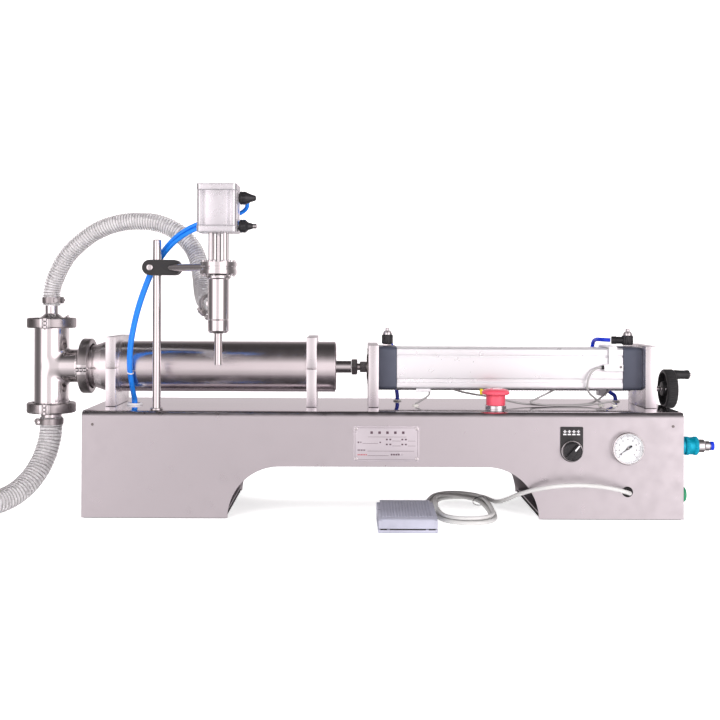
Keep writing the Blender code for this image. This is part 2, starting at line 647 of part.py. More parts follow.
def controls():
    """Emergency stop, selector, pressure gauge, air shut-off valve, push button and cord gland."""
    top = BASE_TOP + GAP
    turned(
        "estop_body",
        [
            (14.3, 160), (15, 159.2), (15, top), (11, top), (11, 118), (8.6, 118), (8.6, 154),
            (14.3, 154),
        ],
        (*ESTOP, 0), "machined_steel", ring=True,
    )
    turned(
        "estop_stem",
        [(0, 174.7), (13.7, 174.7), (13.7, 158.6), (8, 158.6), (8, 134), (0, 134)],
        (*ESTOP, 0), "red_plastic",
    )
    turned(
        "estop_head",
        [
            (0, 184.3), (12, 184), (18, 182.5), (20, 180), (20, 176.5), (18.5, 175), (0, 175),
        ],
        (*ESTOP, 0), "red_plastic", steps=24,
    )
    front = -BASE_HALF_Y - GAP
    outline = [(-16, 132), (16, 132), (16, 98)] + arc((0, 98), 16, 0, -180, 12) + [(-16, 98)]
    outline = [(x, z - SELECTOR_Z) for x, z in outline[:-2]]
    scale_plate = plate(
        "selector_plate", [outline], (SELECTOR_X, front - 1, SELECTOR_Z), 2, "black_plastic", "XZ"
    )
    cut(scale_plate, rod("selector_plate_bore", 7.6, -9, 9, (SELECTOR_X, front, SELECTOR_Z), along="FRONT"))
    knob = turned(
        "selector_knob",
        [(0, 14), (12, 14), (14, 12.5), (14, 2.4), (7, 2.4), (7, -16), (0, -16)],
        (SELECTOR_X, front, SELECTOR_Z), "black_plastic", "FRONT",
    )
    join(knob, selector_pointer(front))

    turned(
        "gauge_case",
        [
            (0, 1.5), (20.3, 1.5), (20.8, 8.5), (22.4, 8.5), (23.3, 7), (23.3, 0), (20, 0),
            (20, -24), (0, -24),
        ],
        (GAUGE_X, front, GAUGE_Z), "machined_steel", "FRONT", 26,
    )
    needle_outline = [(-1.6, -5), (1.6, -5), (0.5, 15.5), (-0.5, 15.5)]
    angle = math.radians(135)
    turned_outline = [
        (x * math.cos(angle) - z * math.sin(angle), x * math.sin(angle) + z * math.cos(angle))
        for x, z in needle_outline
    ]
    plate("gauge_needle", [turned_outline], (GAUGE_X, front - 4.2, GAUGE_Z), 0.8, "black_plastic", "XZ")

    turned(
        "cord_grommet",
        [
            (3.3, 8), (4.6, 8), (5.0, 2.4), (7.0, 2.0), (7.0, 0), (5.1, 0), (5.1, -8), (3.3, -8),
        ],
        (CORD_X, front, CORD_Z), "black_rubber", "FRONT", 16, ring=True,
    )

    wall = BASE_HALF_X - 1.0
    at = (0, SLIDE_VALVE_Y, SLIDE_VALVE_Z)
    turned(
        "slide_valve_body",
        [
            (4.2, 486), (5.4, 486), (5.4, 480), (7.2, 479), (7.2, 473), (9.6, 471), (9.6, wall + 12),
            (11.5, wall + 11), (11.5, wall + GAP), (10, wall + GAP), (10, wall - 22), (4.2, wall - 22),
        ],
        at, "machined_steel", "X", ring=True,
    )
    turned(
        "slide_valve_sleeve",
        [
            (12.7, 462), (13.7, 461), (13.7, 444), (12.7, 443), (10.2, 443), (10.2, 462),
        ],
        at, "cyan_metal", "X", 22, ring=True,
    )
    turned(
        "push_button",
        [
            (0, wall + 16), (9.5, wall + 16), (11.5, wall + 14), (11.5, wall + 4.5), (8, wall + 4.5),
            (8, wall - 16), (0, wall - 16),
        ],
        (0, BUTTON_Y, BUTTON_Z), "green_plastic", "X",
    )


def selector_pointer(front):
    """The raised grip bar across the knob, turned to the knob's rest position."""
    angle = math.radians(-40)
    corners = [(-3.2, -11), (3.2, -11), (3.2, 10), (0, 13), (-3.2, 10)]
    outline = [
        (x * math.cos(angle) - z * math.sin(angle), x * math.sin(angle) + z * math.cos(angle))
        for x, z in corners
    ]
    return plate("knob_pointer", [outline], (SELECTOR_X, front - 15, SELECTOR_Z), 6, None, "XZ")


def foot_switch():
    """The foot switch: a base with side cheeks, and the ribbed pedal hinged at its back."""
    (x0, y0), (x1, y1) = SWITCH_LOW, SWITCH_HIGH
    base_side = [(y0 + 1, 0), (y0 + 1, 6), (y1 - 22, 7), (y1 - 16, 9), (y1 - 16, 22), (y1, 24), (y1, 0)]
    base = plate("footswitch_base", [base_side], ((x0 + x1) / 2, 0, 0), x1 - x0, "grey_plastic", "YZ")
    notch = box("pedal_notch", (x0 + 4, y1 - 30, 8), (x1 - 4, y1 - 3, 40))
    gland = rod("footswitch_gland", 4.6, -2, 10, (45, y1, 9), along=(0, 1, 0), steps=16)
    cut(base, notch)
    join(base, gland)
    side = [
        (y0, 12.5), (y0, 19), (y0 + 2, 20.2), (y1 - 8, 28.5), (y1 - 4, 27.5), (y1 - 4, 14),
        (y1 - 9, 11), (y1 - 15, 13.5),
    ]
    outline = [(y - PEDAL_HINGE_Y, z - PEDAL_HINGE_Z) for y, z in side]
    pedal = plate(
        "footswitch_pedal", [outline], ((x0 + x1) / 2, PEDAL_HINGE_Y, PEDAL_HINGE_Z),
        x1 - x0 - 9.0, "grey_plastic", "YZ",
    )
    ribs = [
        box(
            f"pedal_skirt_{i}",
            (x0 + 0.2 + i * (x1 - x0 - 8.2), y0 + 0.2, 12.5), (x0 + 8 + i * (x1 - x0 - 8.2), y1 - 24, 20.1),
        )
        for i in range(2)
    ]
    join(pedal, *ribs)


DISCHARGE_ROUTE = [
    (TEE_X, 0, 300.6), (TEE_X, 0, 313), (-499.6, -0.3, 325), (-496, -1.5, 337), (-490, -4, 350),
    (-481.8, -7, 365), (-470.5, -10, 380), (-454, -14, 394.8), (-433.5, -18, 409.3),
    (-410.5, -23, 419.5), (-382, -28.5, 425.8), (-354, -33.5, 426.5), (-327, -39, 421.8),
    (-302, -44.5, 409.5), (-282.5, -50.5, 391), (-272, -57.5, 373.5), (-266, -66, 355),
    (-262, -77, 337), (-258.5, -91, 321.5), (-254, -105.5, 311), (-248.5, -117.5, 305.5),
    (-246.2, -123.5, 304.5), (-242.1, -131.7, 304.5),
]
AIR_ROUTE = [
    (-369, -24, 152.8), (-369, -24, 160), (-369.8, -31, 172), (-371, -40, 189),
    (-372, -46.5, 210), (-370.5, -51, 238), (-365, -57, 267), (-357, -63, 296),
    (-347, -68, 324), (-336, -71, 350), (-325, -74.5, 368), (-311, -83, 385), (-294, -94, 399.5),
    (-273, -105.5, 411), (-250, -114.5, 418.5), (-226, -119, 423),
]
UPPER_TAIL = [
    (-206, -118.5, 431), (-194, -124, 438), (-190.5, -138, 446), (-190.5, -143, 448.5),
    (-190.5, -151.2, 450),
]
LOWER_TAIL = [
    (-207, -119.5, 419.5), (-194.5, -125, 417), (-190.5, -137, 413.5), (-190.5, -143, 412),
    (-190.5, -151.2, 411.5),
]
FRONT_AIR_ROUTE = [
    (13.1, 24.6, 250.8), (14.0, 32, 250.7), (15.5, 40.5, 248.5), (17.5, 48, 242.5), (19.5, 53, 233),
    (21.5, 56, 220), (23.5, 57.5, 204), (25, 58, 187), (26.5, 57.5, 172), (28, 56.5, 160), (28, 56.5, 152.8),
]
REAR_AIR_ROUTE = [
    (350.6, 6.0, 250.8), (345.5, 7.3, 251.0), (340.5, 10.5, 251.2), (337, 16, 251.3), (335, 23, 251.2),
    (333.8, 31, 250.6), (333, 39, 248.6), (332.8, 46, 244), (333.2, 51.5, 237), (334.5, 56, 227),
    (337, 60, 214), (341, 63, 201), (347, 65, 188), (355, 65, 175), (364, 63, 166.5),
    (371.4, 60.5, 160.5), (372, 60, 152.8),
]
CORD_ROUTE = [
    (CORD_X, -118.6, CORD_Z), (CORD_X, -122.6, CORD_Z), (344.5, -131.5, 42), (334, -137.5, 45.8),
    (320, -140.5, 49.5), (300, -141.5, 52.8), (275, -140, 54.2), (250, -136.5, 52.8),
    (228, -130, 48.8), (208, -117, 42), (193.5, -97, 32.8), (184, -72, 22.5), (177, -46, 14),
    (171.5, -24, 9.5), (169.4, -10, 8.2), (169.4, -5, 8),
]
CORD_END_ROUTE = [
    (70.0, -1, 5), (69.6, -7, 4.8), (67, -22, 4.4), (60, -45, 4.2), (51, -66, 5.6), (46, -80, 8),
    (45, -89.6, 9), (45, -95.6, 9),
]


def beside(route, distance):
    """The route moved sideways, square to its own direction, for one tube of a pair."""
    across = Vector((0.83, 0.55, 0))
    knots = [Vector(p) for p in route]
    moved = []
    for i, knot in enumerate(knots):
        ahead, behind = knots[min(i + 1, len(knots) - 1)], knots[max(i - 1, 0)]
        sideways = (ahead - behind).cross(across)
        sideways = Vector((-0.55, 0.83, 0)) if i < 2 else sideways.normalized()
        moved.append(knot + sideways * distance)
    return moved


def hoses():
    """The two hoses, the air tubes and the foot switch's cord with its tied hank."""
    tube("discharge_hose", DISCHARGE_ROUTE, DISCHARGE_D, "clear_hose", 26)
    turn = Vector((math.cos(SUCTION_HEADING), math.sin(SUCTION_HEADING), 0))
    start = Vector((TEE_X, 0, 130.7))
    bend_from = start - Vector((0, 0, 7))
    route = [start]
    for i in range(9):
        angle = math.radians(90) * i / 8
        route.append(bend_from + turn * SUCTION_BEND_R * (1 - math.cos(angle))
                     - Vector((0, 0, SUCTION_BEND_R * math.sin(angle))))
    side = Vector((turn.y, -turn.x, 0))
    middle = route[-1] + side * SUCTION_LOOP_R
    for i in range(1, 21):
        angle = SUCTION_LOOP_TURN * i / 20
        route.append(middle - side * SUCTION_LOOP_R * math.cos(angle)
                     + turn * SUCTION_LOOP_R * math.sin(angle))
    heading = (side * math.sin(SUCTION_LOOP_TURN) + turn * math.cos(SUCTION_LOOP_TURN)).normalized()
    route.append(route[-1] + heading * 12)
    tube("suction_hose", route, SUCTION_D, "clear_hose", 36)
    turned(
        "suction_strainer",
        [(0, 62), (9, 62), (17, 56), (17, 14), (14, 10), (14, GAP), (0, GAP)],
        route[-1], "machined_steel", heading, 20,
    )
    for name, tail, side in (("upper", UPPER_TAIL, PAIR_HALF), ("lower", LOWER_TAIL, -PAIR_HALF)):
        tube("nozzle_air_tube_" + name, beside(AIR_ROUTE, side) + tail, AIR_TUBE_D, "azure_tube", 17)
    tube("air_tube_front", FRONT_AIR_ROUTE, AIR_TUBE_D, "royal_tube", 14)
    tube("air_tube_rear", REAR_AIR_ROUTE, AIR_TUBE_D, "royal_tube", 14)
    tube("footswitch_cord", CORD_ROUTE, CORD_D, "cord_grey", 16)
    tube("footswitch_cord_end", CORD_END_ROUTE, CORD_D, "cord_grey", 12)
    outlines = []
    for inset in (0.0, HANK_WIDTH):
        half_x, half_y = HANK_HALF_X - inset, HANK_HALF_Y - inset
        straight = half_y - half_x
        outlines.append(arc((0, straight), half_x, 0, 180, 10) + arc((0, -straight), half_x, 180, 360, 10))
    plate("footswitch_coil", outlines, (HANK_X, HANK_Y, HANK_H / 2 + 0.2), HANK_H, "cord_grey")


housing()
dosing_cylinder()
valve_tee()
filling_valve()
air_cylinder()
piston_train()
stroke_adjuster()
controls()
foot_switch()
hoses()
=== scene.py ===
"""Looks of the bench-top piston liquid filler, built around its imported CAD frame.

Places are in millimetres from the middle of the housing's footprint, as the machine is drawn;
at() turns them into the frame's metres. Each section makes one part of the machine in finer
detail than the CAD solid that it stands for, and ends by saying which body it rides on.
"""

import math

import bmesh
import bpy
import numpy as np
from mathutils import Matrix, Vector


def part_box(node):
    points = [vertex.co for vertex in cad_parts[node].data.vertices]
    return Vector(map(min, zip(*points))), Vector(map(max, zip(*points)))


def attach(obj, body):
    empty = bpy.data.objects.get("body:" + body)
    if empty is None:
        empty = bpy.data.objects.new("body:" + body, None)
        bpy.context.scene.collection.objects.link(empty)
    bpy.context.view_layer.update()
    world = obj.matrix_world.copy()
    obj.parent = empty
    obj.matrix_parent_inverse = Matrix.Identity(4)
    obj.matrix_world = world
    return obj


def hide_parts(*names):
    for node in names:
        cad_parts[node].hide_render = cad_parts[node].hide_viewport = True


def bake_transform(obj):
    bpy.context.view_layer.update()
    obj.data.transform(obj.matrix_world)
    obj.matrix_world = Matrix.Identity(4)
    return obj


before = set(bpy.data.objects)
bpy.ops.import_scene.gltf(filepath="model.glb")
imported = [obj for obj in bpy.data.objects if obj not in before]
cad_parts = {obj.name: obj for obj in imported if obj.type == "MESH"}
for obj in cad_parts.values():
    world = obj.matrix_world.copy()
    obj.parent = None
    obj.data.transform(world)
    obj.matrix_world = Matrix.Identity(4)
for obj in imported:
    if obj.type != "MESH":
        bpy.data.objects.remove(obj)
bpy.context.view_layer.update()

MM = 0.001
FINE = 96  # steps round a large turned piece
HOUSING_LOW, HOUSING_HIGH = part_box("base_housing")
ORIGIN = Vector(((HOUSING_LOW.x + HOUSING_HIGH.x) / 2, (HOUSING_LOW.y + HOUSING_HIGH.y) / 2, 0.0))
HOUSING_HALF_X = HOUSING_HIGH.x / MM - ORIGIN.x / MM


def at(x, y, z):
    """A place in the frame's metres, from millimetres on the machine's own drawing."""
    return ORIGIN + Vector((x, y, z)) * MM


def drawn(point):
    """The reverse of at(): millimetres on the drawing."""
    return (Vector(point) - ORIGIN) / MM


def span(node):
    """A CAD node's lowest and highest corner on the drawing."""
    low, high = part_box(node)
    return drawn(low), drawn(high)


# ------------------------------------------------------------------------------------------
# camera, light and floor


def make_camera():
    data = bpy.data.cameras.new("camera")
    data.sensor_width = 36.0
    data.lens = 54.1
    data.shift_x, data.shift_y = 0.0153, -0.0861
    data.clip_end = 30.0
    camera = bpy.data.objects.new("camera", data)
    bpy.context.scene.collection.objects.link(camera)
    camera.location = at(-48.6, -1645.0, 313.5)
    camera.rotation_euler = (math.radians(90.0), math.radians(-0.22), 0.0)
    bpy.context.scene.camera = camera


def area_light(name, place, target, size, power):
    data = bpy.data.lights.new(name, "AREA")
    data.shape = "RECTANGLE"
    data.size, data.size_y = size
    data.energy = power
    light = bpy.data.objects.new(name, data)
    bpy.context.scene.collection.objects.link(light)
    light.location = place
    light.visible_glossy = False
    light.rotation_euler = (Vector(target) - Vector(place)).to_track_quat("-Z", "Y").to_euler()


def make_world():
    """A white studio whose light falls off overhead, underfoot and in a band at each side.

    The dark bands give polished tubes their dark edges; the view itself sees plain white."""
    world = bpy.data.worlds.new("studio")
    bpy.context.scene.world = world
    world.use_nodes = True
    nodes, links = world.node_tree.nodes, world.node_tree.links

    def ramp(value, stops):
        node = nodes.new("ShaderNodeValToRGB")
        while len(node.color_ramp.elements) < len(stops):
            node.color_ramp.elements.new(0.5)
        for element, (position, grey) in zip(node.color_ramp.elements, stops):
            element.position = position
            element.color = (grey, grey * 0.965, grey * 0.975, 1.0)
        links.new(value, node.inputs["Fac"])
        return node.outputs["Color"]

    def arithmetic(operation, value, second=None, third=None):
        node = nodes.new("ShaderNodeMath")
        node.operation = operation
        links.new(value, node.inputs[0])
        for socket, number in zip(node.inputs[1:], (second, third)):
            if number is not None:
                socket.default_value = number
        return node.outputs[0]

    def product(first, second):
        node = nodes.new("ShaderNodeMix")
        node.data_type = "RGBA"
        node.blend_type = "MULTIPLY"
        node.inputs["Factor"].default_value = 1.0
        links.new(first, node.inputs["A"])
        links.new(second, node.inputs["B"])
        return node.outputs["Result"]

    where = nodes.new("ShaderNodeTexCoord")
    split = nodes.new("ShaderNodeSeparateXYZ")
    links.new(where.outputs["Generated"], split.inputs[0])
    height = ramp(
        arithmetic("MULTIPLY_ADD", split.outputs["Z"], 0.5, 0.5),
        ((0.0, 0.07), (0.04, 0.10), (0.10, 0.30), (0.27, 0.62), (0.44, 1.0), (0.66, 1.0), (0.78, 0.46),
         (0.90, 0.12), (1.0, 0.07)),
    )
    across = arithmetic("ABSOLUTE", split.outputs["X"])
    before = ramp(across, ((0.0, 0.50), (0.20, 0.54), (0.36, 1.0), (0.78, 1.0), (0.90, 0.20), (1.0, 0.10)))
    behind = ramp(across, ((0.0, 0.42), (0.55, 0.42), (0.85, 0.18), (1.0, 0.10)))
    round_about = nodes.new("ShaderNodeMix")
    round_about.data_type = "RGBA"
    links.new(ramp(arithmetic("MULTIPLY_ADD", split.outputs["Y"], 0.5, 0.5), ((0.46, 0.0), (0.54, 1.0))),
              round_about.inputs["Factor"])
    links.new(before, round_about.inputs["A"])
    links.new(behind, round_about.inputs["B"])
    slant = ramp(arithmetic("MULTIPLY_ADD", split.outputs["X"], 0.5, 0.5), ((0.35, 0.80), (0.66, 1.0)))
    glow = product(product(height, round_about.outputs["Result"]), slant)
    links.new(glow, nodes["Background"].inputs["Color"])
    nodes["Background"].inputs["Strength"].default_value = 1.75
    white = nodes.new("ShaderNodeBackground")
    white.inputs["Strength"].default_value = 1.15
    sight = nodes.new("ShaderNodeLightPath")
    either = nodes.new("ShaderNodeMixShader")
    links.new(sight.outputs["Is Camera Ray"], either.inputs[0])
    links.new(nodes["Background"].outputs[0], either.inputs[1])
    links.new(white.outputs[0], either.inputs[2])
    links.new(either.outputs[0], nodes["World Output"].inputs["Surface"])


def make_studio():
    bpy.context.scene.view_settings.view_transform = "Standard"
    make_world()
    area_light("key", (-0.9, -2.0, 1.7), (0, 0, 0.15), (1.6, 0.9), 34.0)
    area_light("fill", (1.6, -1.5, 0.9), (0.1, 0, 0.2), (0.9, 1.3), 16.0)
    area_light("back", (0.3, 1.5, 1.6), (0, 0, 0.1), (2.2, 0.8), 22.0)
    bm = bmesh.new()
    profile = [(-6.0, 0.0)]
    profile += [
        (3.4 + 1.6 * math.sin(a), 1.6 - 1.6 * math.cos(a))
        for a in (math.radians(90) * i / 12 for i in range(13))
    ]
    profile.append((5.0, 7.0))
    rows = [[bm.verts.new((x, y, z - 0.0005)) for y, z in profile] for x in (-9.0, 9.0)]
    for i in range(len(profile) - 1):
        bm.faces.new((rows[0][i], rows[1][i], rows[1][i + 1], rows[0][i + 1]))
    mesh = bpy.data.meshes.new("floor")
    bm.to_mesh(mesh)
    bm.free()
    mesh.shade_smooth()
    floor = bpy.data.objects.new("floor", mesh)
    bpy.context.scene.collection.objects.link(floor)
    floor.visible_glossy = False
    plain = bpy.data.materials.new("floor")
    plain.use_nodes = True
    shader = plain.node_tree.nodes["Principled BSDF"]
    shader.inputs["Base Color"].default_value = (0.95, 0.95, 0.95, 1.0)
    shader.inputs["Roughness"].default_value = 0.9
    shader.inputs["Emission Color"].default_value = (1.0, 1.0, 1.0, 1.0)
    shader.inputs["Emission Strength"].default_value = 0.62
    mesh.materials.append(plain)


# ------------------------------------------------------------------------------------------
# materials


class Look:
    """A procedural material: colour that varies, roughness that varies and a fine relief."""

    def __init__(self, name, colour, roughness, metallic=0.0, **facts):
        self.made = bpy.data.materials.new(name)
        self.made.use_nodes = True
        self.nodes, self.links = self.made.node_tree.nodes, self.made.node_tree.links
        self.shader = self.nodes["Principled BSDF"]
        self.shader.inputs["Metallic"].default_value = metallic
        for socket, value in facts.items():
            self.shader.inputs[socket.replace("_", " ")].default_value = value
        self.where = self.nodes.new("ShaderNodeTexCoord").outputs["Object"]
        self.colour, self.roughness = colour, roughness

    def noise(self, scale, detail=3.0, stretch=(1.0, 1.0, 1.0)):
        """A noise value; scale counts its features in a metre, stretch multiplies it by axis."""
        mapping = self.nodes.new("ShaderNodeMapping")
        mapping.inputs["Scale"].default_value = stretch
        self.links.new(self.where, mapping.inputs["Vector"])
        noise = self.nodes.new("ShaderNodeTexNoise")
        noise.inputs["Scale"].default_value = scale
        noise.inputs["Detail"].default_value = detail
        self.links.new(mapping.outputs["Vector"], noise.inputs["Vector"])
        return noise.outputs["Fac"]

    def ranged(self, value, low, high, start=0.3, end=0.7):
        node = self.nodes.new("ShaderNodeMapRange")
        for socket, number in (("From Min", start), ("From Max", end), ("To Min", low), ("To Max", high)):
            node.inputs[socket].default_value = number
        self.links.new(value, node.inputs["Value"])
        return node.outputs["Result"]

    def mixed(self, factor, first, second):
        node = self.nodes.new("ShaderNodeMix")
        node.data_type = "RGBA"
        node.inputs["A"].default_value = (*first, 1.0)
        node.inputs["B"].default_value = (*second, 1.0)
        self.links.new(factor, node.inputs["Factor"])
        return node.outputs["Result"]

    def vary(self, scale=9.0, depth=0.10, rough_scale=60.0, rough_depth=0.25, stretch=(1, 1, 1)):
        """Slow colour drift and patchy roughness, as handling and dust leave them."""
        darker = tuple(c * (1.0 - depth) for c in self.colour)
        lighter = tuple(min(1.0, c * (1.0 + depth * 0.6)) for c in self.colour)
        drift = self.noise(scale, 4.0, stretch)
        self.links.new(self.mixed(self.ranged(drift, 0.0, 1.0), darker, lighter),
                       self.shader.inputs["Base Color"])
        patches = self.noise(rough_scale, 5.0, stretch)
        self.links.new(
            self.ranged(patches, self.roughness * (1 - rough_depth), self.roughness * (1 + rough_depth)),
            self.shader.inputs["Roughness"],
        )
        return self

    def relief(self, scale, height, stretch=(1, 1, 1), detail=4.0):
        """A fine bump of the given height in metres, laid on any relief that is there already."""
        bump = self.nodes.new("ShaderNodeBump")
        bump.inputs["Distance"].default_value = height
        bump.inputs["Strength"].default_value = 1.0
        self.links.new(self.noise(scale, detail, stretch), bump.inputs["Height"])
        earlier = self.shader.inputs["Normal"].links
        if earlier:
            self.links.new(earlier[0].from_socket, bump.inputs["Normal"])
        self.links.new(bump.outputs["Normal"], self.shader.inputs["Normal"])
        return self


def steel(name, colour, roughness, brushed=None, strength=0.000012, **vary):
    """Steel whose brushing runs along one axis; without an axis it is polished."""
    look = Look(name, colour, roughness, 1.0).vary(**vary)
    if brushed is None:
        look.relief(240.0, 0.000003)
    else:
        stretch = tuple(0.02 if axis == brushed else 1.0 for axis in "XYZ")
        look.relief(2600.0, strength, stretch, 2.0)
    return look.made


def moulded(name, colour, roughness, grain=1800.0, height=0.00002, **facts):
    return Look(name, colour, roughness, 0.0, **facts).vary().relief(grain, height).made


def make_looks():
    return {
        "satin_front": steel("satin_front", (0.72, 0.70, 0.72), 0.36, "X", 0.000006, scale=2.5, depth=0.07),
        "mirror_top": steel("mirror_top", (0.74, 0.71, 0.74), 0.085, None, scale=3.0, depth=0.05),
        "satin_end": steel("satin_end", (0.64, 0.61, 0.64), 0.34, "Y", scale=3.0, depth=0.06),
        "tube_steel": Look("tube_steel", (0.93, 0.89, 0.90), 0.21, 1.0).vary(5.0, 0.06).relief(
            2600.0, 0.000016, (1.0, 0.02, 0.02), 2.0).made,
        "pipe_steel": steel("pipe_steel", (0.94, 0.92, 0.92), 0.12, None, scale=12.0, depth=0.05),
        "milled_plate": steel("milled_plate", (0.95, 0.94, 0.95), 0.30, "Z", 0.000005, scale=8.0, depth=0.06),
        "clamp_steel": steel("clamp_steel", (0.50, 0.48, 0.48), 0.30, None, scale=30.0, depth=0.16),
        "hose_wire": steel("hose_wire", (0.42, 0.40, 0.40), 0.30, None, scale=40.0, depth=0.1),
        "turned_steel": steel("turned_steel", (0.72, 0.70, 0.70), 0.20, None, scale=20.0, depth=0.08),
        "bright_screw": steel("bright_screw", (0.86, 0.85, 0.85), 0.12, None, scale=60.0, depth=0.08),
        "dark_steel": steel("dark_steel", (0.30, 0.28, 0.27), 0.30, None, scale=60.0, depth=0.15),
        "anodised": Look("anodised", (0.86, 0.86, 0.88), 0.34, 0.55).vary(3.0, 0.04).relief(
            2600.0, 0.000004, (0.02, 1.0, 1.0), 2.0).made,
        "anodised_upright": Look("anodised_upright", (0.84, 0.84, 0.87), 0.26, 0.85).vary(4.0, 0.04).relief(
            2600.0, 0.000008, (1.0, 1.0, 0.02), 2.0).made,
        "slate": Look("slate", (0.085, 0.095, 0.130), 0.38, 0.25).vary(20.0, 0.10).relief(
            900.0, 0.00004).made,
        "black_plastic": moulded("black_plastic", (0.022, 0.022, 0.023), 0.42),
        "black_gloss": moulded("black_gloss", (0.018, 0.018, 0.02), 0.24, height=0.000006),
        "rubber": moulded("rubber", (0.016, 0.016, 0.016), 0.72, 900.0, 0.00006),
        # painted shade: a near-black that stands for the shaded gap under the foot switch's pedal
        "dark_inside": moulded("dark_inside", (0.03, 0.025, 0.025), 0.8),
        "azure": moulded("azure", (0.010, 0.235, 0.88), 0.22, 400.0, 0.000008),
        "royal": moulded("royal", (0.006, 0.035, 0.60), 0.22, 400.0, 0.000008),
        "red": moulded("red", (0.76, 0.085, 0.135), 0.32, 700.0, 0.00001, Coat_Weight=0.25),
        "green": moulded("green", (0.01, 0.30, 0.13), 0.30, 700.0, 0.00001, Coat_Weight=0.3),
        "cyan": Look("cyan", (0.0, 0.42, 0.60), 0.20, 0.45).vary(30.0, 0.08).relief(500.0, 0.000006).made,
        "white_plastic": moulded("white_plastic", (0.84, 0.83, 0.85), 0.38),
        "grey_paint": Look("grey_paint", (0.45, 0.46, 0.55), 0.36, 0.1).vary(40.0, 0.10).relief(
            700.0, 0.00005).made,
        "cord_sheath": moulded("cord_sheath", (0.62, 0.62, 0.61), 0.42, 900.0, 0.00001),
        "cable_sheath": moulded("cable_sheath", (0.42, 0.41, 0.41), 0.45, 900.0, 0.00001),
        "seal": moulded("seal", (0.86, 0.85, 0.80), 0.45),
        "label_metal": Look("label_metal", (0.52, 0.48, 0.51), 0.36, 0.35).vary(20.0, 0.05).relief(
            2600.0, 0.000006, (0.02, 1.0, 1.0), 2.0).made,
        "label_ink": moulded("label_ink", (0.10, 0.06, 0.08), 0.5),
        "label_red": moulded("label_red", (0.45, 0.08, 0.10), 0.5),
        "dial": moulded("dial", (0.90, 0.90, 0.90), 0.5, 500.0, 0.000004),
        "yellow": moulded("yellow", (0.85, 0.70, 0.03), 0.4),
        "hose_wall": hose_look(),
        "hose_bore": hose_bore_look(),
        "glass": glass_look(),
    }


def hose_look():
    look = Look("hose_wall", (0.95, 0.94, 0.95), 0.10, 0.0, Transmission_Weight=0.88, IOR=1.16)
    look.vary(14.0, 0.03, 90.0, 0.3)
    return look.relief(160.0, 0.00008, (1.0, 1.0, 1.0), 2.0).made


def hose_bore_look():
    """The cloudy inside of the hose, which lets about half of the light through."""
    look = Look("hose_bore", (0.90, 0.89, 0.90), 0.30, 0.0, Transmission_Weight=0.45, IOR=1.05)
    return look.vary(30.0, 0.05, 90.0, 0.3).made


def glass_look():
    look = Look("glass", (0.96, 0.97, 0.98), 0.03, 0.0, Transmission_Weight=1.0, IOR=1.05)
    return look.vary(20.0, 0.02, 30.0, 0.6).made


# ------------------------------------------------------------------------------------------
# shapes


def new_object(name, mesh):
    obj = bpy.data.objects.new(name, mesh)
    bpy.context.scene.collection.objects.link(obj)
    return obj


def finished(obj, body, look, slot, *stands_for):
    """Gives a piece its material, its body and the CAD nodes it stands for; its slot is not used."""
    for one in look if isinstance(look, tuple) else (look,):
        obj.data.materials.append(LOOKS[one])
    if body:
        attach(obj, body)
    if stands_for:
        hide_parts(*stands_for)
    return obj


def mesh_from(name, build, sharp=32.0):
    """A smooth shaded mesh that build(bm) fills, in the frame's metres."""
    bm = bmesh.new()
    build(bm)
    bmesh.ops.recalc_face_normals(bm, faces=bm.faces)
    mesh = bpy.data.meshes.new(name)
    bm.to_mesh(mesh)
    bm.free()
    mesh.shade_smooth()
    mesh.set_sharp_from_angle(angle=math.radians(sharp))
    return new_object(name, mesh)


def ways(along):
    """Two directions across an axis given as X, Y, Z or a vector."""
    axis = {"X": Vector((1, 0, 0)), "Y": Vector((0, 1, 0)), "Z": Vector((0, 0, 1))}.get(along) \
        if isinstance(along, str) else Vector(along).normalized()
    helper = Vector((0, 0, 1)) if abs(axis.z) < 0.9 else Vector((1, 0, 0))
    first = helper.cross(axis).normalized()
    return axis, first, axis.cross(first)


def spin(bm, profile, place, along="Z", steps=FINE, ring=False, wobble=None):
    """Turns (radius, height) points about an axis; wobble(angle, radius) may change a radius."""
    axis, first, second = ways(along)
    centre = at(*place)
    loops = []
    for r, h in profile:
        if r < 1e-6:
            loops.append([bm.verts.new(centre + axis * (h * MM))])
            continue
        loop = []
        for i in range(steps):
            a = 2 * math.pi * i / steps
            radius = (wobble(a, r) if wobble else r) * MM
            loop.append(bm.verts.new(
                centre + axis * (h * MM) + (first * math.cos(a) + second * math.sin(a)) * radius))
        loops.append(loop)
    pairs = list(zip(loops, loops[1:]))
    if ring:
        pairs.append((loops[-1], loops[0]))
    for one, two in pairs:
        for i in range(steps):
            j = (i + 1) % steps
            corners = [one[i % len(one)], one[j % len(one)], two[j % len(two)], two[i % len(two)]]
            corners = list(dict.fromkeys(corners))
            if len(corners) > 2:
                bm.faces.new(corners)


def rounded(profile, radius, steps=3):
    """Rounds the inner corners of a profile, keeping its two ends."""
    points = [Vector(p).to_2d() if len(p) > 2 else Vector(p) for p in profile]
    out = [points[0]]
    for a, b, c in zip(points, points[1:], points[2:]):
        reach = min(radius, (b - a).length * 0.45, (c - b).length * 0.45)
        start, end = b + (a - b).normalized() * reach, b + (c - b).normalized() * reach
        for i in range(steps + 1):
            t = i / steps
            out.append(start * (1 - t) ** 2 + b * 2 * t * (1 - t) + end * t * t)
    out.append(points[-1])
    return [tuple(p) for p in out]


def turned(name, profile, place, body, look, slot, stands_for=(), along="Z", steps=FINE, ring=False,
           edge=0.5, wobble=None):
    shape = rounded(profile, edge) if edge else profile
    obj = mesh_from(name, lambda bm: spin(bm, shape, place, along, steps, ring, wobble))
    return finished(obj, body, look, slot, *stands_for)


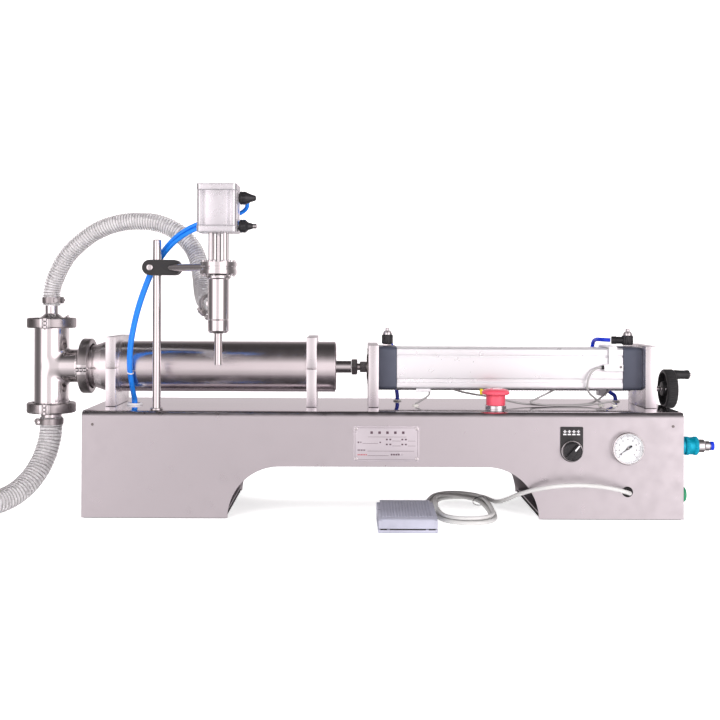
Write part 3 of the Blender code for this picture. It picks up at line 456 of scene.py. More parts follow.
def prism(bm, outline, low, high, plane="XY", place=(0, 0, 0)):
    """An outline in a plane, carried from low to high along the plane's normal."""
    def point(u, v, w):
        x, y, z = {"XY": (u, v, w), "XZ": (u, w, v), "YZ": (w, u, v)}[plane]
        return at(place[0] + x, place[1] + y, place[2] + z)
    ends = [[bm.verts.new(point(u, v, w)) for u, v in outline] for w in (low, high)]
    count = len(outline)
    for i in range(count):
        j = (i + 1) % count
        bm.faces.new((ends[0][i], ends[0][j], ends[1][j], ends[1][i]))
    bm.faces.new(ends[0])
    bm.faces.new(ends[1])


def cuboid(bm, low, high):
    outline = [(low[0], low[1]), (high[0], low[1]), (high[0], high[1]), (low[0], high[1])]
    prism(bm, outline, low[2], high[2])


def shaped(name, build, edge=0.6, cutters=(), segments=2, sharp=32.0, join=False):
    """A mesh with its edges rounded by edge millimetres, after any cuts are made."""
    obj = mesh_from(name, build, sharp)
    tools = []
    for i, cutter in enumerate(cutters):
        tool = mesh_from(f"{name}_tool_{i}", cutter)
        step = obj.modifiers.new("cut", "BOOLEAN")
        step.operation = "UNION" if join else "DIFFERENCE"
        step.object = tool
        tools.append(tool)
    if edge:
        step = obj.modifiers.new("edges", "BEVEL")
        step.width = edge * MM
        step.segments = segments
        step.limit_method = "ANGLE"
        step.angle_limit = math.radians(35.0)
    applied = bpy.data.meshes.new_from_object(obj.evaluated_get(bpy.context.evaluated_depsgraph_get()))
    obj.modifiers.clear()
    obj.data = applied
    applied.name = name
    applied.shade_smooth()
    applied.set_sharp_from_angle(angle=math.radians(sharp))
    for tool in tools:
        bpy.data.objects.remove(tool, do_unlink=True)
    return obj


def arc(centre, radius, start, end, steps):
    angles = [math.radians(start + (end - start) * i / steps) for i in range(steps + 1)]
    return [(centre[0] + radius * math.cos(a), centre[1] + radius * math.sin(a)) for a in angles]


def hexagon(bm, across, low, high, place, along):
    """A hexagon bar of a width across flats, its ends chamfered."""
    r = across / math.sqrt(3)
    spin(bm, [(0, high), (r * 0.9, high), (r, high - 0.1 * r), (r, low + 0.1 * r), (r * 0.9, low), (0, low)],
         place, along, 6)


def spun(points, degrees):
    """An outline turned about its own origin."""
    c, s = math.cos(math.radians(degrees)), math.sin(math.radians(degrees))
    return [(u * c - v * s, u * s + v * c) for u, v in points]


# ------------------------------------------------------------------------------------------
# tubes, hoses and cords


def running_lengths(points):
    lengths = [0.0]
    for a, b in zip(points, points[1:]):
        lengths.append(lengths[-1] + (b - a).length)
    return lengths


def smooth(route, step):
    """Even points on a smooth curve through the route, whose first and last stretches are straight."""
    knots = [Vector(p) for p in route]
    fine = []
    for a, b, c, d in zip(knots, knots[1:], knots[2:], knots[3:]):
        for i in range(16):
            t = i / 16
            fine.append(0.5 * (2 * b + (c - a) * t + (2 * a - 5 * b + 4 * c - d) * t * t
                               + (3 * b - 3 * c + d - a) * t ** 3))
    fine = [knots[0], *fine, knots[-2], knots[-1]]
    lengths = running_lengths(fine)
    count = max(2, round(lengths[-1] / step))
    points, k = [], 0
    for i in range(count + 1):
        target = lengths[-1] * i / count
        while k < len(fine) - 2 and lengths[k + 1] < target:
            k += 1
        share = (target - lengths[k]) / max(lengths[k + 1] - lengths[k], 1e-9)
        points.append(fine[k].lerp(fine[k + 1], share))
    return points


def frames(points):
    """A direction and two crosswise directions at each point, turning as little as they can."""
    ahead = [(points[min(i + 1, len(points) - 1)] - points[max(i - 1, 0)]).normalized()
             for i in range(len(points))]
    helper = Vector((0, 1, 0)) if abs(ahead[0].y) < 0.9 else Vector((1, 0, 0))
    across = helper.cross(ahead[0]).normalized()
    out = []
    for i, way in enumerate(ahead):
        across = (across - way * across.dot(way)).normalized()
        out.append((way, across, way.cross(across)))
    return out


def sweep(bm, points, radius, sides=16, swell=None):
    """A round tube along points; swell(i) may change its radius at a point."""
    loops = []
    for i, (point, (_, one, two)) in enumerate(zip(points, frames(points))):
        r = (radius * (swell(i) if swell else 1.0)) * MM
        loops.append([
            bm.verts.new(at(*point) + (one * math.cos(a) + two * math.sin(a)) * r)
            for a in (2 * math.pi * k / sides for k in range(sides))
        ])
    for one, two in zip(loops, loops[1:]):
        for k in range(sides):
            j = (k + 1) % sides
            bm.faces.new((one[k], one[j], two[j], two[k]))
    bm.faces.new(loops[0])
    bm.faces.new(loops[-1])


def helix(points, radius, pitch, per_turn=14):
    """Points of a spiral wound round a path of points."""
    lengths = running_lengths(points)
    turns = int(lengths[-1] / pitch)
    around = frames(points)
    out, k = [], 0
    for i in range(turns * per_turn + 1):
        s = i / per_turn * pitch
        while k < len(points) - 2 and lengths[k + 1] < s:
            k += 1
        t = min(1.0, (s - lengths[k]) / (lengths[k + 1] - lengths[k]))
        centre = points[k].lerp(points[k + 1], t)
        one = around[k][1].lerp(around[k + 1][1], t).normalized()
        two = around[k][2].lerp(around[k + 1][2], t).normalized()
        a = 2 * math.pi * i / per_turn
        out.append(centre + (one * math.cos(a) + two * math.sin(a)) * radius)
    return out


TEE_X = -500.3
DISCHARGE_D, SUCTION_D = 26.0, 34.0
AIR_TUBE_R, CORD_R, CABLE_R = 3.0, 3.0, 1.5
PAIR_ACROSS = Vector((0.83, 0.55, 0))  # the azure pair spreads square to this and to its own route
DISCHARGE_ROUTE = [
    (TEE_X, 0, 300.6), (TEE_X, 0, 313), (-499.6, -0.3, 325), (-496, -1.5, 337), (-490, -4, 350),
    (-481.8, -7, 365), (-470.5, -10, 380), (-454, -14, 394.8), (-433.5, -18, 409.3),
    (-410.5, -23, 419.5), (-382, -28.5, 425.8), (-354, -33.5, 426.5), (-327, -39, 421.8),
    (-302, -44.5, 409.5), (-282.5, -50.5, 391), (-272, -57.5, 373.5), (-266, -66, 355),
    (-262, -77, 337), (-258.5, -91, 321.5), (-254, -105.5, 311), (-248.5, -117.5, 305.5),
    (-246.2, -123.5, 304.5), (-242.1, -131.7, 304.5),
]
AIR_ROUTE = [
    (-369, -24, 152.8), (-369, -24, 160), (-369.8, -31, 172), (-371, -40, 189),
    (-372, -46.5, 210), (-370.5, -51, 238), (-365, -57, 267), (-357, -63, 296),
    (-347, -68, 324), (-336, -71, 350), (-325, -74.5, 368), (-311, -83, 385), (-294, -94, 399.5),
    (-273, -105.5, 411), (-250, -114.5, 418.5), (-226, -119, 423),
]
UPPER_TAIL = [
    (-206, -118.5, 431), (-194, -124, 438), (-190.5, -138, 446), (-190.5, -143, 448.5),
    (-190.5, -151.2, 450),
]
LOWER_TAIL = [
    (-207, -119.5, 419.5), (-194.5, -125, 417), (-190.5, -137, 413.5), (-190.5, -143, 412),
    (-190.5, -151.2, 411.5),
]
FRONT_AIR_ROUTE = [
    (13.1, 24.6, 250.8), (14.0, 32, 250.7), (15.5, 40.5, 248.5), (17.5, 48, 242.5), (19.5, 53, 233),
    (21.5, 56, 220), (23.5, 57.5, 204), (25, 58, 187), (26.5, 57.5, 172), (28, 56.5, 160), (28, 56.5, 152.8),
]
REAR_AIR_ROUTE = [
    (350.6, 6.0, 250.8), (345.5, 7.3, 251.0), (340.5, 10.5, 251.2), (337, 16, 251.3), (335, 23, 251.2),
    (333.8, 31, 250.6), (333, 39, 248.6), (332.8, 46, 244), (333.2, 51.5, 237), (334.5, 56, 227),
    (337, 60, 214), (341, 63, 201), (347, 65, 188), (355, 65, 175), (364, 63, 166.5),
    (371.4, 60.5, 160.5), (372, 60, 152.8),
]
CORD_X, CORD_Z = 347.5, 40.0
CORD_ROUTE = [
    (CORD_X, -118.6, CORD_Z), (CORD_X, -122.6, CORD_Z), (344.5, -131.5, 42), (334, -137.5, 45.8),
    (320, -140.5, 49.5), (300, -141.5, 52.8), (275, -140, 54.2), (250, -136.5, 52.8),
    (228, -130, 48.8), (208, -117, 42), (193.5, -97, 32.8), (184, -72, 22.5), (177, -46, 14),
    (171.5, -24, 9.5), (169.4, -10, 8.2), (169.4, -5, 8),
]
CORD_END_ROUTE = [
    (70.0, -1, 5), (69.6, -7, 4.8), (67, -22, 4.4), (60, -45, 4.2), (51, -66, 5.6), (46, -80, 8),
    (45, -89.6, 9), (45, -95.6, 9),
]
PAIR_HALF = 3.3  # from the middle of a pair of air tubes to each
HOSE_SIDES = 28


def beside(route, distance):
    """The route moved sideways, square to its own direction, for one tube of a pair."""
    knots = [Vector(p) for p in route]
    moved = []
    for i, knot in enumerate(knots):
        ahead, behind = knots[min(i + 1, len(knots) - 1)], knots[max(i - 1, 0)]
        sideways = (ahead - behind).cross(PAIR_ACROSS)
        sideways = Vector((-0.55, 0.83, 0)) if i < 2 else sideways.normalized()
        moved.append(knot + sideways * distance)
    return moved


def wired_hose(name, points, diameter, pitch):
    """A clear hose wall, the wire wound in it and the pale bore that shows through."""
    def ribs(i):
        return 1.0 + 0.010 * math.cos(math.pi * i)
    wall = mesh_from(name, lambda bm: sweep(bm, points, diameter / 2, HOSE_SIDES, swell=ribs), 60)
    spiral = helix(points, diameter / 2 - 2.2, pitch)
    wire = mesh_from(name + "_wire", lambda bm: sweep(bm, spiral, 0.75, 6), 60)
    bore = mesh_from(name + "_bore", lambda bm: sweep(bm, points, diameter / 2 - 3.4, 20), 60)
    return wall, wire, bore


def discharge_hose():
    points = smooth(DISCHARGE_ROUTE, 3.0)
    parts = wired_hose("discharge_hose_wall", points, DISCHARGE_D, 4.2)
    for part, look in zip(parts, ("hose_wall", "hose_wire", "hose_bore")):
        finished(part, None, look, "clear_hose")
        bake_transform(part)
    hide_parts("discharge_hose")


def suction_route():
    turn = Vector((math.cos(math.radians(236.6)), math.sin(math.radians(236.6)), 0))
    bend, loop, swing = 106.2, 190.0, math.radians(215)
    start = Vector((TEE_X, 0, 130.7))
    bend_from = start - Vector((0, 0, 7))
    route = [start]
    for i in range(9):
        angle = math.radians(90) * i / 8
        route.append(bend_from + turn * bend * (1 - math.cos(angle)) - Vector((0, 0, bend * math.sin(angle))))
    side = Vector((turn.y, -turn.x, 0))
    centre = route[-1] + side * loop
    for i in range(1, 21):
        angle = swing * i / 20
        route.append(centre - side * loop * math.cos(angle) + turn * loop * math.sin(angle))
    heading = (side * math.sin(swing) + turn * math.cos(swing)).normalized()
    route.append(route[-1] + heading * 12)
    return route, heading


def suction_hose():
    route, heading = suction_route()
    points = smooth(route, 4.0)
    parts = wired_hose("suction_hose_wall", points, SUCTION_D, 5.2)
    for part, look in zip(parts, ("hose_wall", "hose_wire", "hose_bore")):
        finished(part, "root", look, "clear_hose")
    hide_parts("suction_hose")

    def cage(angle, radius):
        return radius - (1.1 if math.cos(18 * angle) > 0.3 and radius > 16 else 0)
    strainer = turned(
        "strainer", [(0, 62), (9, 62), (17, 56), (17, 14), (14, 10), (14, 0.3), (0, 0.3)],
        route[-1], "root", "turned_steel", "machined_steel", ("suction_strainer",), heading, 108, wobble=cage,
    )


def air_tubes():
    for name, tail, side in (("upper", UPPER_TAIL, PAIR_HALF), ("lower", LOWER_TAIL, -PAIR_HALF)):
        points = smooth(beside(AIR_ROUTE, side) + [Vector(p) for p in tail], 3.0)
        tube = mesh_from(f"azure_tube_{name}", lambda bm: sweep(bm, points, AIR_TUBE_R, 16), 60)
        finished(tube, None, "azure", "azure_tube")
        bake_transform(tube)
        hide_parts("nozzle_air_tube_" + name)
    for name, route in (("front", FRONT_AIR_ROUTE), ("rear", REAR_AIR_ROUTE)):
        points = smooth(route, 3.0)
        tube = mesh_from(f"royal_tube_{name}", lambda bm: sweep(bm, points, AIR_TUBE_R, 16), 60)
        finished(tube, "root", "royal", "royal_tube", "air_tube_" + name)


HANK_X, HANK_Y = 119.7, -52.5
HANK_TURNS = 3.5


def hank_point(turn):
    """A place on the tied hank, counted in turns from its right-hand side."""
    keys = (
        (0.0, 49.7, 8.0), (0.35, 44.5, 3.5), (1.0, 43.2, 3.4), (1.35, 37.4, 3.4), (2.1, 36.6, 3.4),
        (2.5, 39.5, 9.0), (3.1, 40.6, 9.4), (3.3, 45.0, 9.6), (3.5, 49.7, 5.0),
    )
    for (t0, w0, z0), (t1, w1, z1) in zip(keys, keys[1:]):
        if turn <= t1:
            s = (turn - t0) / (t1 - t0)
            s = s * s * (3 - 2 * s)
            half, z = w0 + (w1 - w0) * s, z0 + (z1 - z0) * s
            break
    straight = 56.3
    angle = 2 * math.pi * turn
    lean = 1.4 * math.sin(5.0 * turn + 0.6)
    x = half * math.cos(angle)
    y = half * math.sin(angle) + straight * math.tanh(2.4 * math.sin(angle)) / math.tanh(2.4)
    return Vector((HANK_X + x + lean * math.sin(angle), HANK_Y + y, z))


def foot_cord():
    hank = [hank_point(i / 40) for i in range(int(HANK_TURNS * 40) + 1)]
    first = smooth(CORD_ROUTE, 3.0)
    last = smooth(CORD_END_ROUTE, 3.0)
    knots = first[:-4:3] + hank[4:-4:2] + last[4::3] + [last[-1]]
    points = smooth([first[0], *knots[1:-1], last[-2], last[-1]], 3.0)
    cord = mesh_from("foot_cord", lambda bm: sweep(bm, points, CORD_R, 14), 60)
    finished(cord, "root", "cord_sheath", "cord_grey", "footswitch_cord", "footswitch_coil",
             "footswitch_cord_end")
    # Painted shade: the tie is black to stand for the dark spot of shade beside it; the tie itself is pale.
    tie_at = Vector((HANK_X + 31.5, HANK_Y + 47.0, 6.9))
    tie = mesh_from("hank_tie", lambda bm: sweep(bm, [
        tie_at + Vector((13.5 * math.cos(a) * 0.86, 13.5 * math.cos(a) * 0.5, 6.3 * math.sin(a)))
        for a in (2 * math.pi * k / 28 for k in range(29))
    ], 0.5, 8), 60)
    finished(tie, "root", "black_plastic", "black_plastic")


LOOKS = make_looks()
make_camera()
make_studio()
discharge_hose()
suction_hose()
air_tubes()
foot_cord()


# ------------------------------------------------------------------------------------------
# fasteners and small hardware


def moved(point, along, reach):
    """A place moved along a direction."""
    return tuple(Vector(point) + Vector(along) * reach)


def add_rod(bm, r, low, high, place, along="Z", steps=24, chamfer=0.4):
    c = min(chamfer, r * 0.4, (high - low) * 0.3)
    spin(bm, [(0, high), (r - c, high), (r, high - c), (r, low + c), (r - c, low), (0, low)],
         place, along, steps)


def add_block(bm, centre, size, directions):
    """A box about a centre whose edges run along three directions."""
    one, two, three = (Vector(d).normalized() for d in directions)
    half = Vector(size) / 2
    verts = [
        bm.verts.new(at(*centre) + (one * half.x * a + two * half.y * b + three * half.z * c) * MM)
        for a in (-1, 1) for b in (-1, 1) for c in (-1, 1)
    ]
    for corners in ((0, 1, 3, 2), (4, 6, 7, 5), (0, 4, 5, 1), (2, 3, 7, 6), (0, 2, 6, 4), (1, 5, 7, 3)):
        bm.faces.new([verts[i] for i in corners])


def add_cap_screw(bm, r, height, place, along):
    """A socket-head screw: a short cylinder with its hexagon socket."""
    spin(bm, [(0, height * 0.45), (r * 0.5, height * 0.45), (r * 0.52, height), (r * 0.86, height),
              (r, height * 0.86), (r, 0), (0, 0)], place, along, 18)


def screws(name, r, height, places, along, body, look="bright_screw", slot="machined_steel"):
    def build(bm):
        for place in places:
            add_cap_screw(bm, r, height, place, along)
    return finished(mesh_from(name, build), body, look, slot)


def worm_clamp(name, place, along, radius, screw_way, body="root"):
    """A hose clamp: its band, the worm's housing and the hexagon screw."""
    axis, _, _ = ways(along)
    out = Vector(screw_way).normalized()
    tangent = axis.cross(out).normalized()
    seat = Vector(place) + out * (radius + 3.2)

    def band(bm):
        spin(bm, [(radius + 0.2, 4.6), (radius + 0.9, 4.4), (radius + 1.1, 3.6), (radius + 1.1, -3.6),
                  (radius + 0.9, -4.4), (radius + 0.2, -4.6)], place, along, 64, ring=True,
             wobble=lambda a, r: r - (0.35 if r > radius + 1 and math.cos(40 * a) > 0.2 else 0.0))

    def housing(bm):
        add_block(bm, seat, (10.5, 6.0, 10.0), (tangent, out, axis))

    finished(mesh_from(name + "_band", band, 50), body, "clamp_steel", "machined_steel")
    finished(shaped(name + "_housing", housing, 1.4), body, "clamp_steel", "machined_steel")

    def screw(bm):
        add_rod(bm, 2.1, -9.0, 9.0, seat, tangent, 18)
        hexagon(bm, 6.6, -12.6, -7.6, seat, tangent)
    finished(mesh_from(name + "_screw", screw), body, "bright_screw", "machined_steel")


def clamp_hardware(name, centre, along, hinge_way, ring_r):
    """The hinge on one side of a pipe clamp and the bolt with its wing nut on the other."""
    axis, _, _ = ways(along)
    out = Vector(hinge_way).normalized()
    tangent = axis.cross(out).normalized()
    hinge = Vector(centre) + out * (ring_r + 1.4)
    bolt = Vector(centre) - out * (ring_r + 5.2)

    def knuckles(bm):
        for offset in (-5.6, 0.0, 5.6):
            add_rod(bm, 3.5, offset - 2.5, offset + 2.5, hinge, axis, 24, 0.6)
        for side in (-1, 1):
            add_block(bm, hinge - out * 1.6 + tangent * side * 4.6, (6.5, 3.6, 13.5), (tangent, out, axis))

    def lugs(bm):
        for side in (-1, 1):
            add_block(bm, bolt + tangent * side * 4.2, (4.4, 12.0, 11.0), (tangent, out, axis))

    def nut(bm):
        add_rod(bm, 2.4, -10.5, 15.0, bolt, tangent, 18)
        add_rod(bm, 5.6, 6.6, 12.0, bolt, tangent, 24, 1.0)
        for side in (-1, 1):
            wing = bolt + tangent * 12.5 + axis * side * 6.6
            spread = (tangent + axis * side * 0.45, out, axis - tangent * side * 0.45)
            add_block(bm, wing, (8.0, 2.6, 7.4), spread)
        add_rod(bm, 4.6, -10.5, -7.0, bolt, tangent, 24, 0.8)

    finished(shaped(name + "_hinge", knuckles, 0.35), "root", "bright_screw", "machined_steel")
    finished(mesh_from(name + "_pin", lambda bm: add_rod(bm, 1.5, -9.2, 9.2, hinge, axis, 16)),
             "root", "dark_steel", "machined_steel")
    finished(shaped(name + "_lugs", lugs, 1.2), "root", "clamp_steel", "machined_steel")
    finished(shaped(name + "_nut", nut, 0.5), "root", "bright_screw", "machined_steel")


# ------------------------------------------------------------------------------------------
# housing


def housing():
    low, high = span("base_housing")
    half_x, half_y, top, foot = high.x, high.y, high.z, low.z
    bend, sheet = 9.0, 2.0
    y, z = half_y - bend, top - bend
    section = [(-half_y, foot)] + arc((-y, z), bend, 180, 90, 14) + arc((y, z), bend, 90, 0, 14)
    section += [(half_y, foot), (half_y - sheet, foot)]
    section += arc((y, z), bend - sheet, 0, 90, 10) + arc((-y, z), bend - sheet, 90, 180, 10)
    section += [(-half_y + sheet, foot)]
    arch = [(-220.0, -5.0)] + arc((-146.0, 0.0), 74.0, 180, 90, 40)
    arch += arc((148.0, 0.0), 74.0, 90, 0, 40) + [(222.0, -5.0)]
    sheet_metal = shaped(
        "folded_housing", lambda bm: prism(bm, section, -half_x, half_x, "YZ"), 0.25,
        [lambda bm: prism(bm, arch, -130, 130, "XZ")], 1, 20,
    )
    finished(sheet_metal, "root", ("satin_front", "mirror_top"), "satin_steel", "base_housing")
    for face in sheet_metal.data.polygons:
        face.material_index = 1 if face.normal.z > 0.75 and face.center.z > (top - 4) * MM else 0
    screws("housing_screws", 2.0, 0.7, [(x, -half_y, 133.0) for x in (-412.0, 412.0)], (0, -1, 0), "root",
           "dark_steel")
    end_x = half_x - 1.0
    for side in (-1, 1):
        places = [(side * end_x, y, z) for y in (-96.0, 96.0) for z in (24.0, 128.0)]
        screws(f"end_screws_{side}", 3.2, 1.6, places, (side, 0, 0), "root")
    for name in ("left_end_panel", "right_end_panel"):
        dress(name, "satin_end")
    for name in ("foot_pad_left", "foot_pad_right"):
        dress(name, "rubber")


def dress(node, look):
    """A CAD node that is kept gets its finished material."""
    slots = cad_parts[node].data.materials
    slots.clear()
    slots.append(LOOKS[look])


def nameplate():
    """A riveted plate with generic rows of marks, which stand for no words."""
    x0, x1, z0, z1 = -41.5, 52.0, 82.0, 132.0
    front = -110.0
    plate = shaped("nameplate", lambda bm: cuboid(bm, (x0, front - 0.9, z0), (x1, front, z1)), 0.3)
    finished(plate, "root", "label_metal", "satin_steel")
    screws("nameplate_rivets", 2.3, 1.0,
           [(x, front - 0.8, z) for x in (x0 + 3.6, x1 - 3.6) for z in (z0 + 3.6, z1 - 3.6)],
           (0, -1, 0), "root")

    def marks(bm, rows):
        for x, z, wide, tall in rows:
            cuboid(bm, (x, front - 1.05, z), (x + wide, front - 0.85, z + tall))
    heading = [(x0 + 24 + 11.2 * i, z1 - 11.0, 3.6, 3.6) for i in range(5)]
    small = [(x0 + 6 + 2.3 * i, 97.0, 1.5, 1.8) for i in range(5)]
    small += [(x0 + 53 + 3.4 * i, 90.5, 2.4, 2.4) for i in range(4)]
    small += [(x0 + 44 + dx, z, 2.6, 2.2) for dx in (2, 7, 24, 29) for z in (105.0, 112.0)]
    small += [(x0 + 6, 108.0, 2.2, 2.0), (x0 + 10, 108.0, 1.2, 2.0), (x0 + 37, 108.0, 2.0, 2.0)]
    lines = [(x0 + 13, 107.4, 22, 0.4), (x0 + 20, 96.4, 66, 0.4), (x0 + 20, 90.0, 30, 0.4)]
    lines += [(x0 + 55, 103.8, 12, 0.4), (x0 + 77, 103.8, 11, 0.4), (x0 + 55, 110.8, 12, 0.4),
              (x0 + 77, 110.8, 11, 0.4), (x0 + 21, z1 - 15.5, 54, 0.35)]
    red = [(x0 + 6 + 2.3 * i, 90.5, 1.5, 1.8) for i in range(6)]
    border = [(x0 + 3, z0 + 2.2, x1 - x0 - 6, 0.35), (x0 + 3, z1 - 2.6, x1 - x0 - 6, 0.35),
              (x0 + 2.2, z0 + 3, 0.35, z1 - z0 - 6), (x1 - 2.6, z0 + 3, 0.35, z1 - z0 - 6)]
    ink = mesh_from("nameplate_marks", lambda bm: marks(bm, heading + small + lines + border))
    finished(ink, "root", "label_ink", "black_plastic")
    finished(mesh_from("nameplate_red", lambda bm: marks(bm, red)), "root", "label_red", "red_plastic")


# ------------------------------------------------------------------------------------------
# liquid end


AXIS_Z = 209.0
BRANCH_X = -445.0
BOLT_ROWS = (-44.2, 44.2)  # the cradle bolts' rows, either side of the tube


def dosing_end():
    tube_left, tube_right = -407.0, -68.7
    joint = BRANCH_X + 0.15
    turned(
        "dosing_tube",
        [
            (35.25, tube_right), (38.15, tube_right), (38.15, tube_left - 3), (36.7, tube_left - 12),
            (31.75, tube_left - 26), (31.75, joint + 6), (38.5, joint + 3), (38.5, joint),
            (30.2, joint), (30.2, tube_left - 25), (35.25, tube_left - 10), (35.25, tube_right + 1),
        ],
        (0, 0, AXIS_Z), "root", "tube_steel", "polished_steel", ("dosing_cylinder",), "X", 144, True, 1.2,
    )
    for name in ("cradle_left", "cradle_right"):
        low, high = span(name)
        middle_x = (low.x + high.x) / 2
        cuts = [
            lambda bm: spin(bm, [(0, 20), (38.45, 20), (38.45, -20), (0, -20)],
                            (middle_x, 0, AXIS_Z), "X", 96),
            lambda bm: cuboid(bm, (low.x - 5, -60, AXIS_Z - 0.8), (high.x + 5, -37, AXIS_Z + 0.8)),
        ]
        cuts += [
            lambda bm, y=y: add_rod(bm, 4.7, high.z - 3.8, high.z + 2, (middle_x, y, 0), chamfer=0)
            for y in BOLT_ROWS
        ]
        cradle = shaped(name + "_block", lambda bm: cuboid(bm, low, high), 0.8, cuts)
        finished(cradle, "root", "milled_plate", "machined_steel", name)
        screws(name + "_bolts", 4.2, 3.2, [(middle_x, y, high.z - 3.7) for y in BOLT_ROWS], "Z", "root")
    turned(
        "dosing_piston_fine",
        [
            (0, -44.6), (8.4, -44.6), (9.2, -45.4), (9.2, -82), (34.7, -82), (34.7, -88), (33.2, -89),
            (33.2, -93), (34.7, -94), (34.7, -112), (0, -112),
        ],
        (0, 0, AXIS_Z), "piston_train", "turned_steel", "seal_white", ("dosing_piston",), "X", 64,
    )


def tee_surface(points):
    """How far points are outside the tee's run and branch, which meet in a rounded corner."""
    x, y, z = points.T
    run = np.hypot(x - TEE_X, y) - 25.4
    branch = np.sqrt(np.minimum(x - TEE_X - 8.0, 0.0) ** 2 + y ** 2 + (z - AXIS_Z) ** 2) - 25.1
    corner = 5.0
    near = np.maximum(corner - np.abs(run - branch), 0.0) / corner
    return np.minimum(run, branch) - near * near * corner / 4


def tee_body():
    """The run and branch as one welded and polished body with a rounded inner corner."""
    def run(bm):
        spin(bm, [(0, 268.5), (26.5, 268.5), (26.5, 151.5), (0, 151.5)], (TEE_X, 0, 0), "Z", 64)

    def branch(bm):
        spin(bm, [(0, -456), (26.5, -456), (26.5, TEE_X), (0, TEE_X)], (0, 0, AXIS_Z), "X", 64)
    body = shaped("tee_run_and_branch", run, 0, [branch], join=True)
    remesh = body.modifiers.new("even", "REMESH")
    remesh.mode = "VOXEL"
    remesh.voxel_size = 1.7 * MM
    mesh = bpy.data.meshes.new_from_object(body.evaluated_get(bpy.context.evaluated_depsgraph_get()))
    body.modifiers.clear()
    body.data = mesh
    co = np.empty(len(mesh.vertices) * 3)
    mesh.vertices.foreach_get("co", co)
    points = (co.reshape(-1, 3) - np.array(ORIGIN)) / MM
    ends = (points[:, 2] > 267.5) | (points[:, 2] < 152.5) | (points[:, 0] > -457.0)
    for _ in range(5):
        value = tee_surface(points)
        slope = np.stack([(tee_surface(points + step) - value) / 0.01 for step in np.eye(3) * 0.01], axis=1)
        move = slope * (value / np.maximum((slope ** 2).sum(axis=1), 1e-6))[:, None]
        move[ends] = 0.0
        points -= move
    mesh.vertices.foreach_set("co", (points * MM + np.array(ORIGIN)).ravel())
    mesh.shade_smooth()
    finished(body, "root", "pipe_steel", "polished_steel", "tee_body")


def flow_tee():
    tee_body()
    place = (TEE_X, 0, 0)

    def ferrules(bm):
        for end, way in ((274.0, 1), (146.0, -1)):
            spin(bm, [(23.9, end), (32, end), (32, end - way * 2.6), (25.45, end - way * 6.4),
                      (25.45, end - way * 8), (23.9, end - way * 8)], place, "Z", 72, ring=True)
        end = BRANCH_X - 0.15
        spin(bm, [(30.2, end), (38.5, end), (38.5, end - 3), (31.75, end - 6), (25.15, end - 11),
                  (25.15, end - 13), (23, end - 13)], (0, 0, AXIS_Z), "X", 72, ring=True)
    finished(mesh_from("tee_ferrules", ferrules), "root", "pipe_steel", "polished_steel")
    turned(
        "outlet_reducer",
        [(7, 300.3), (9.5, 300.3), (9.5, 288.3), (20, 280.3), (32, 276.9), (32, 274.3), (21.9, 274.3),
         (16.5, 279.3), (7, 288.3)],
        place, "root", "pipe_steel", "machined_steel", ("outlet_adapter",), steps=64, ring=True,
    )
    turned(
        "inlet_tail",
        [(11.5, 145.7), (32, 145.7), (32, 143.1), (24, 138.7), (15.5, 135.7), (15.5, 131), (11.5, 131)],
        place, "root", "pipe_steel", "machined_steel", ("inlet_adapter",), steps=64, ring=True,
    )
    for name, centre, along, radius, flange, pipe, hinge in (
        ("tri_clamp_top", (TEE_X, 0, 274.15), "Z", 36.5, 32.0, 25.4, (0, -1, 0)),
        ("tri_clamp_bottom", (TEE_X, 0, 145.85), "Z", 36.5, 32.0, 25.4, (0, -1, 0)),
        ("tri_clamp_branch", (BRANCH_X, 0, AXIS_Z), "X", 41.5, 38.5, 31.75, (0, -1, -0.08)),
    ):
        out = Vector(hinge).normalized()
        axis, _, _ = ways(along)

        def band(bm):
            spin(bm, [(radius - 1.5, 7.6), (radius, 6.1), (radius, -6.1), (radius - 1.5, -7.6),
                      (pipe + 2.2, -7.6), (flange + 0.6, -3.6), (flange + 0.6, 3.6), (pipe + 2.2, 7.6)],
                 centre, along, 80, ring=True)

        def split(bm):
            add_block(bm, centre, (2.6, 2.4 * radius, 20), (axis.cross(out), out, axis))
        ring = shaped(name + "_ring", band, 0.4, [split])
        finished(ring, "root", "clamp_steel", "machined_steel", name)
        clamp_hardware(name, centre, along, hinge, radius)
    worm_clamp("worm_clamp_top", (TEE_X, 0, 308.5), "Z", 13.1, (0.93, -0.37, 0))
    worm_clamp("worm_clamp_bottom", (TEE_X, 0, 124.6), "Z", 17.1, (-0.9, -0.43, 0))
    for node in ("suction_ball", "discharge_ball"):
        dress(node, "bright_screw")


# ------------------------------------------------------------------------------------------
# post and filling valve

POST = (-323.6, -95.0)
VALVE = (-227.8, -160.0)
ARM_Z = 355.5
LEG_SPACING = 9.8  # from the valve's axis, both ways


